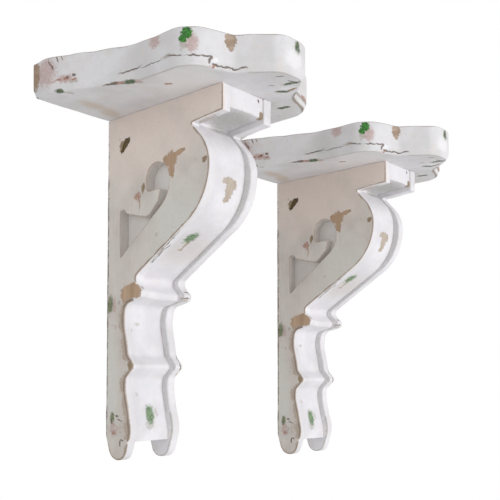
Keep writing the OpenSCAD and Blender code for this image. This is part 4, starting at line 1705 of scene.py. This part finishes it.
@dataclass
class SidePanel:
    """One scroll-cut side panel with its fret-cut window and the seats of its nails."""

    place: ShelfPlace
    effects: Effects
    side: int
    thickness: float = 9.5
    middle: float = 25.75
    step: float = 1.2
    face_step: float = 1.9
    outline: tuple[Triple, ...] = (
        (0.0, 0.0, 0.5),
        (146.0, 0.0, 0.5),
        (146.0, -22.0, 1.0),
        (109.0, -25.0, 1.2),
        (130.5, -48.5, 36.0),
        *SCROLL,
        (25.0, -311.4, 12.0),
        (7.0, -311.4, 12.0),
        (0.0, -289.4, 14.0),
    )
    fret: tuple[Triple, ...] = (
        (18.4, -87.5, 0.8),
        (22.9, -85.8, 1.2),
        (27.8, -90.6, 2.5),
        (55.5, -97.6, 8.0),
        (70.4, -84.6, 11.0),
        (72.2, -74.0, 1.5),
        (54.2, -75.2, 4.0),
        (54.2, -51.2, 12.5),
        (83.0, -51.2, 15.5),
        (83.0, -81.8, 25.0),
        (18.4, -130.0, 1.0),
    )
    nails: tuple[tuple[float, float], ...] = (
        (17.0, -21.0),
        (115.5, -57.1),
        (67.7, -114.1),
        (7.75, -190.1),
        (13.75, -282.9),
    )
    nail_seat: tuple[float, float] = (1.45, 1.25)
    nail_sides: int = 16
    sheltered: float = 0.5
    window_sheltered: float = 0.35
    window_tone: float = 0.6

    def build(self) -> bpy.types.Object:
        """Makes the panel: its worn rim, the window's rim, both faces and the nail seats."""
        name = "left_panel" if self.side < 0 else "right_panel"
        half = 0.5 * self.thickness
        loop = turned_left(
            round_corners([(-out, z, r) for out, z, r in self.outline], self.step)
        )
        window = turned_left(
            round_corners([(-out, z, r) for out, z, r in self.fret], self.step)
        )[::-1]
        rim = self._rim(half, 0.95)
        wear = tuple(
            np.clip(1.0 + Waviness(0.55, 16.0, seed + self.side).at(loop), 0.6, 1.9)
            for seed in (30, 34)
        )
        grid = rim.sweep(loop, wear=wear)
        cut = self._rim(half, 0.5)
        inner = cut.sweep(window)
        shell = Shell()
        inside = rim.profile[:, 1] * self.side < 0
        shell.grid(grid, Plane.SIDE, (rim.edge + self.sheltered * inside)[:, None])
        window_edge = cut.edge[:, None] + self.window_sheltered
        shell.grid(inner, Plane.SIDE, window_edge, tone=self.window_tone)
        radius, deep = self.nail_seat
        seats = [circle((-out, z), radius, self.nail_sides) for out, z in self.nails]
        for level, row, up in ((-half, 0, False), (half, -1, True)):
            outside = up == (self.side > 0)
            loops = [grid[row, :, :2], inner[row, :, :2]]
            if outside:
                loops += [seat[::-1] for seat in seats]
                for seat in seats:
                    shell.pocket(seat, level, deep, Plane.SIDE, up, tone=1.0)
            rings = (0.8, 1.8, 3.2) if outside else (1.2, 2.8)
            face, tone = FlatFace(loops), float(outside)
            rim_width = 0.9 if outside else 1.4
            shell.flat(face, level, up, Plane.SIDE, self.face_step, rings, rim_width, tone)
        piece = shell.build(
            self.place.node(f"{name}_painted"),
            self.place,
            self.place.limits(name),
            Waviness(height=0.14, length=30.0, seed=40),
            self.stretches(),
            (self.side * self.middle, 0.0, 0.0),
        )
        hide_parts(self.place.node(name))
        finish(piece, self.paint(name).material(self.place, self.effects))
        return piece

    def _rim(self, half: float, radius: float) -> Rim:
        """Square edge between the faces with both corners rounded alike."""
        return Rim.rounded(
            [(9.0, -half, 0.0), (0.0, -half, radius), (0.0, half, radius), (9.0, half, 0.0)],
            self.step,
        )

    def stretches(self) -> tuple[WornStretch, ...]:
        """Where the panel's edges are worn most."""
        if self.side > 0:
            return (
                WornStretch((20, 36, -170), (32, 54, -154), 0.9, 3.0),
                WornStretch((20, 28, -233), (32, 42, -220), 0.9, 3.0),
                WornStretch((20, -1, -314), (22, 36, -272), 1.9, 4.0),
            )
        return (
            WornStretch((-32, 36, -152), (-29.9, 135, -30), 1.25, 1.2),
            WornStretch((-31, 13, -222), (-29.9, 34, -168), 6.0, 3.0),
            WornStretch((-31, 13, -276), (-29.9, 40, -232), 5.0, 3.0),
            WornStretch((-31, 20, -292), (-29.9, 40, -278), 7.0, 2.0),
            WornStretch((-31, -1, -314), (-29.9, 32, -298), 2.2, 3.0),
            WornStretch((-31, 100, -27), (-29.9, 150, -1.6), 0.9, 1.0),
            WornStretch((-31, 15, -133), (-29.9, 86, -48), 0.8, 1.0),
        )

    def paint(self, name: str) -> WornPaint:
        """The panel's finish, brushed up and down; its second coat is greyer."""
        layers = standard_layers()
        if self.side > 0:
            # painted shade: a darker grey cool tint, laid on strongly, for the inner face in the
            # recess
            layers = layers_with({COOL: (Tone(211, 210, 210), Tone(200, 200, 198))})
            layers[COOL] = replace(layers[COOL], strength=0.85, soft=0.3, ragged=0.5)
        return WornPaint(
            f"{name}_paint",
            coat=Coat(
                light=Tone(241, 239, 243),
                dark=Tone(228, 226, 229),
                warm=Tone(232, 227, 225),
                cool=Tone(226, 229, 229),
                streaks=0.3,
            ),
            second=Coat(
                light=Tone(222, 215, 208),
                dark=Tone(208, 200, 193),
                warm=Tone(218, 206, 198),
                cool=Tone(208, 209, 203),
                streaks=0.6,
            ),
            marks=LEFT_PANEL_MARKS if self.side < 0 else RIGHT_PANEL_MARKS,
            layers=layers,
            squeeze=(1.0, 1.0, 0.07),
            axis=Facing.SIDE.value,
            hairline=0.0 if self.side < 0 else 0.4,
            line_strength=0.4,
            line=Tone(122, 108, 96) if self.side < 0 else Tone(150, 147, 142),
            rub=Tone(184, 165, 149) if self.side < 0 else Tone(186, 183, 178),
        )


@dataclass
class Core:
    """The corbel's core: a scroll-shaped block that stays behind the panels' rims."""

    place: ShelfPlace
    effects: Effects
    width: float = 42.0
    height: float = 294.9
    step: float = 1.3
    face_step: float = 4.0
    seam: float = 0.4
    rows: int = 33
    bore_depth: float = 23.0
    plates: tuple[float, ...] = (-45.0, -245.0)
    plate_seat: Triple = (16.4, 46.4, 1.5)
    plate_corner: float = 3.2
    plate_step: float = 1.6
    pocket_half: float = 6.0
    pocket_run: tuple[float, float] = (-5.0, 5.0)
    pocket_depth: float = 5.5
    pocket_step: float = 1.2
    front: tuple[Triple, ...] = (
        (144.5, 0.0, 0.0),
        (144.5, -17.0, 0.9),
        (102.5, -20.0, 1.5),
        (124.0, -43.5, 36.0),
        *((round(out - RECESS, 3), z, radius) for out, z, radius in SCROLL),
        (27.5, -294.9, 0.8),
        (0.0, -294.9, 0.0),
    )

    def build(self) -> bpy.types.Object:
        """Makes the core: its carved skin, its sides, top and back with all their seats."""
        half = 0.5 * self.width
        loop = round_corners(
            [(0.0, 0.0, 0.0), *[(-out, z, r) for out, z, r in self.front]], self.step
        )
        corner = np.abs(loop - np.array([0.0, -self.height])).sum(1).argmin()
        first = np.abs(loop - np.array([-self.front[0][0], 0.0])).sum(1).argmin()
        skin = loop[first : corner + 1]
        across = np.linspace(-half, half, self.rows)
        shell = Shell()
        edge = (half - np.abs(across))[:, None] + self.seam
        shell.grid(stacked(skin, across), Plane.SIDE, edge, wrap=False)
        for level, up in ((-half, False), (half, True)):
            shell.flat(
                FlatFace([loop]), level, up, Plane.SIDE, self.face_step, rim=self.seam, tone=1.0
            )
        self._top(shell, loop, first, across)
        self._back(shell, loop, corner, across)
        piece = shell.build(
            self.place.node("core_painted"),
            self.place,
            self.place.limits("core"),
            Waviness(height=0.3, length=26.0, seed=60),
            (),
        )
        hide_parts(self.place.node("core"))
        finish(piece, self.paint().material(self.place, self.effects))
        return piece

    def _top(
        self, shell: Shell, loop: np.ndarray, first: int, across: np.ndarray
    ) -> None:
        """Adds the top face, under the board, with its two dowel holes.

        Args:
            shell: The core's shell.
            loop: The side outline, which starts at the top of the wall edge.
            first: Number of the outline's point at the top front.
            across: Places of the skin's rows across the core.
        """
        run = loop[: first + 1, 0]
        half = 0.5 * self.width
        sheet = np.concatenate(
            [
                np.stack([np.full(len(run), half), run], 1)[::-1],
                np.stack([across, np.zeros(len(across))], 1)[::-1][1:],
                np.stack([np.full(len(run), -half), run], 1)[1:],
                np.stack([across, np.full(len(across), run[-1])], 1)[1:-1],
            ]
        )
        holes = dowel_bores()
        face = FlatFace([sheet, *[hole[::-1] for hole in holes]])
        shell.flat(face, 0.0, True, Plane.LEVEL, self.face_step, rim=2.0)
        for hole in holes:
            shell.pocket(hole, 0.0, self.bore_depth, Plane.LEVEL)

    def _back(
        self, shell: Shell, loop: np.ndarray, corner: int, across: np.ndarray
    ) -> None:
        """Adds the back face with the hanger plates' seats and the screw heads' pockets.

        Args:
            shell: The core's shell.
            loop: The side outline.
            corner: Number of the outline's point at the foot of the wall edge.
            across: Places of the skin's rows across the core.
        """
        run = np.append(loop[corner:, 1], loop[0, 1])
        half = 0.5 * self.width
        sheet = np.concatenate(
            [
                np.stack([np.full(len(across), run[0]), across], 1)[::-1],
                np.stack([run, np.full(len(run), -half)], 1)[1:],
                np.stack([np.full(len(across), run[-1]), across], 1)[1:],
                np.stack([run, np.full(len(run), half)], 1)[::-1][1:-1],
            ]
        )
        width, height, depth = self.plate_seat
        seats, pockets = [], []
        for middle in self.plates:
            box = [
                (middle + i * height / 2, j * width / 2, self.plate_corner)
                for i, j in ((1, 1), (-1, 1), (-1, -1), (1, -1))
            ]
            seats.append(turned_left(round_corners(box, self.plate_step)))
            low, high = (middle + end for end in self.pocket_run)
            r = self.pocket_half
            ends = ((high + r, r), (low - r, r), (low - r, -r), (high + r, -r))
            slot = [(u, v, r - SHORT_OF_ROUND) for u, v in ends]
            pockets.append(turned_left(round_corners(slot, self.pocket_step)))
        face = FlatFace([turned_left(sheet), *[seat[::-1] for seat in seats]])
        shell.flat(face, 0.0, True, Plane.BACK, self.face_step, rim=1.0)
        for seat, pocket in zip(seats, pockets):
            shell.pocket(seat, 0.0, depth, Plane.BACK, floor_holes=[pocket])
            shell.pocket(pocket, -depth, self.pocket_depth, Plane.BACK)

    def paint(self) -> WornPaint:
        """The core's finish, brushed up and down; its sides are as grey as the panels'."""
        layers = layers_with(
            {
                BARE: (Tone(202, 190, 178), Tone(180, 166, 151)),
                # painted shade: the cool tint is a darker grey, for the shade under the block and
                # in the throat
                COOL: (Tone(190, 188, 185), Tone(172, 170, 166)),
                WARM: (Tone(225, 219, 216), Tone(216, 209, 206)),
                DULL: (Tone(210, 204, 200), Tone(188, 182, 176)),
                MOSS: (Tone(132, 158, 118), Tone(66, 104, 56)),
            }
        )
        # the painted shade is laid on strongly
        layers[COOL] = replace(layers[COOL], strength=0.85)
        return WornPaint(
            "core_paint",
            coat=Coat(
                light=Tone(242, 240, 244),
                dark=Tone(229, 226, 231),
                warm=Tone(234, 229, 228),
                cool=Tone(227, 230, 231),
                streaks=0.28,
            ),
            second=Coat(
                light=Tone(230, 227, 224),
                dark=Tone(219, 215, 211),
                warm=Tone(223, 216, 211),
                cool=Tone(218, 219, 216),
                streaks=0.3,
            ),
            marks=CORE_MARKS,
            squeeze=(1.0, 0.5, 0.09),
            axis=Facing.FRONT.value,
            hairline=0.0,
            layers=layers,
        )


def finish(piece: bpy.types.Object, material: bpy.types.Material) -> None:
    """Gives a new piece its material and its body."""
    piece.data.materials.clear()
    piece.data.materials.append(material)
    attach(piece, "root")


@dataclass
class Hardware:
    """The small pieces, whose shapes come from the frame.

    The nails get paint. Plates, screws and dowels keep the frame's own materials.
    """

    paint: CloudyPaint = CloudyPaint(
        "nail_paint", Tone(214, 208, 202), Tone(192, 183, 174), (0.55, 0.75)
    )
    painted: tuple[str, ...] = ("left_nails", "right_nails")
    plain: tuple[str, ...] = ("upper_hanger", "lower_hanger", "hanger_screws", "shelf_dowels")

    def __post_init__(self) -> None:
        """Makes the nails' paint once for both shelves."""
        self.nail_paint = self.paint.material()

    def dress(self, place: ShelfPlace) -> list[bpy.types.Object]:
        """Paints one shelf's nails and gives back all its small pieces."""
        nodes = [bpy.data.objects[place.node(part)] for part in (*self.painted, *self.plain)]
        for node in nodes[: len(self.painted)]:
            for slot in node.material_slots:
                slot.material = self.nail_paint
        return nodes


# ---------------------------------------------------------------- light, floor and camera


@dataclass
class Studio:
    """Plain soft light, a pale floor well below the shelves and the camera."""

    floor_drop: float = 0.62
    floor_radii: tuple[float, float] = (0.02, 1.6)
    floor_rings: int = 12
    floor_sides: int = 96
    lamp_distance: float = 2.2
    sky: float = 0.58
    camera_at: Triple = (-0.4734, -0.5690, -0.0889)
    camera_yaw: float = 48.39
    camera_tilt: float = 2.86
    lens: float = 55.85
    shift: float = 0.181

    def build(self, low: Vector, high: Vector) -> None:
        """Sets up everything round the shelves.

        Args:
            low: Lowest corner of the object.
            high: Highest corner of the object.
        """
        self._world()
        self._floor(low, high)
        middle = 0.5 * (low + high)
        self._lamp("key_lamp", middle, (0.15, -0.95, -0.17), size=1.3, watts=22.0)
        self._lamp("side_lamp", middle, (-0.95, -0.25, 0.10), size=1.6, watts=6.0)
        self._camera()

    def _world(self) -> None:
        """Soft white surroundings that look plain white to the camera and in gloss."""
        world = bpy.data.worlds.new("soft_white")
        bpy.context.scene.world = world
        world.use_nodes = True
        world.node_tree.nodes.clear()
        draw = Drawing(world.node_tree)
        path = draw.add("ShaderNodeLightPath").outputs
        seen = draw.math("MAXIMUM", path["Is Camera Ray"], path["Is Glossy Ray"])
        seen = draw.math("MAXIMUM", seen, path["Is Transmission Ray"])
        strength = draw.add("ShaderNodeMapRange", {0: seen, 3: self.sky, 4: 1.0}).outputs[0]
        sky = draw.add(
            "ShaderNodeBackground", {"Color": (1.0, 1.0, 1.0, 1.0), "Strength": strength}
        )
        draw.add("ShaderNodeOutputWorld", {"Surface": sky.outputs[0]})

    def _floor(self, low: Vector, high: Vector) -> None:
        """A pale round floor: a grid of radius and angle, level all over."""
        ring = np.linspace(*self.floor_radii, self.floor_rings)
        angle = np.linspace(0, 2 * np.pi, self.floor_sides + 1)[:-1]
        r, a = np.meshgrid(ring, angle, indexing="ij")
        centre = (np.array(low) + np.array(high)) / 2
        level = float(low[2]) - self.floor_drop
        points = np.stack(
            [centre[0] + r * np.cos(a), centre[1] + r * np.sin(a), np.full(r.shape, level)], -1
        ).reshape(-1, 3)
        number = np.arange(len(points)).reshape(r.shape)
        nxt = np.roll(number, -1, 1)
        quads = np.stack([number[:-1], number[1:], nxt[1:], nxt[:-1]], -1).reshape(-1, 4)
        mesh = bpy.data.meshes.new("floor")
        mesh.from_pydata(points.tolist(), [], [*quads.tolist(), number[0].tolist()])
        mesh.update()
        floor = bpy.data.objects.new("floor", mesh)
        bpy.context.scene.collection.objects.link(floor)
        material, draw, shader = new_material("floor_paint")
        draw.give(shader, {"Base Color": Tone(238, 238, 238).linear(), "Roughness": 0.9})
        mesh.materials.append(material)
        floor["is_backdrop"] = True

    def _lamp(
        self, name: str, target: Vector, way: Triple, size: float, watts: float
    ) -> None:
        """A square soft lamp that stands off along way and faces the target."""
        light = bpy.data.lights.new(name, "AREA")
        light.size = size
        light.energy = watts
        lamp = bpy.data.objects.new(name, light)
        off = Vector(way).normalized()
        lamp.location = target + off * self.lamp_distance
        lamp.rotation_euler = off.to_track_quat("Z", "Y").to_euler()
        bpy.context.scene.collection.objects.link(lamp)

    def _camera(self) -> None:
        """The camera, by its place, its two angles and its lens."""
        yaw, tilt = math.radians(self.camera_yaw), math.radians(self.camera_tilt)
        ahead = Vector(
            (math.sin(yaw) * math.cos(tilt), math.cos(yaw) * math.cos(tilt), math.sin(tilt))
        )
        data = bpy.data.cameras.new("camera")
        data.lens = self.lens
        data.sensor_width = 36.0
        data.shift_y = self.shift
        data.clip_start = 0.01
        camera = bpy.data.objects.new("camera", data)
        camera.location = self.camera_at
        camera.rotation_euler = ahead.to_track_quat("-Z", "Y").to_euler()
        bpy.context.scene.collection.objects.link(camera)
        bpy.context.scene.camera = camera


def report(piece: bpy.types.Object) -> None:
    """Logs a piece's name, its size in millimetres and its number of faces."""
    co = np.zeros(len(piece.data.vertices) * 3, np.float32)
    piece.data.vertices.foreach_get("co", co)
    size = np.ptp(co.reshape(-1, 3), axis=0) / MM
    LOG.info("%s: %.1f x %.1f x %.1f mm, %d faces", piece.name, *size, len(piece.data.polygons))


def main() -> None:
    """Builds the pair of shelves, then the light, floor and camera."""
    logging.basicConfig(level=logging.INFO, format="%(name)s %(message)s")
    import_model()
    cad_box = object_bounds()
    low, high = Vector(cad_box[0]), Vector(cad_box[1])
    bpy.context.scene.view_settings.view_transform = "Standard"
    effects = Effects()
    hardware = Hardware()
    for name in ("first", "second"):
        place = ShelfPlace.of(name)
        pieces = [
            ShelfBoard(place, effects).build(),
            Core(place, effects).build(),
            SidePanel(place, effects, -1).build(),
            SidePanel(place, effects, 1).build(),
            *hardware.dress(place),
        ]
        for piece in pieces:
            report(piece)
    Studio().build(low, high)
    bpy.context.view_layer.update()


if __name__ == "__main__":
    main()
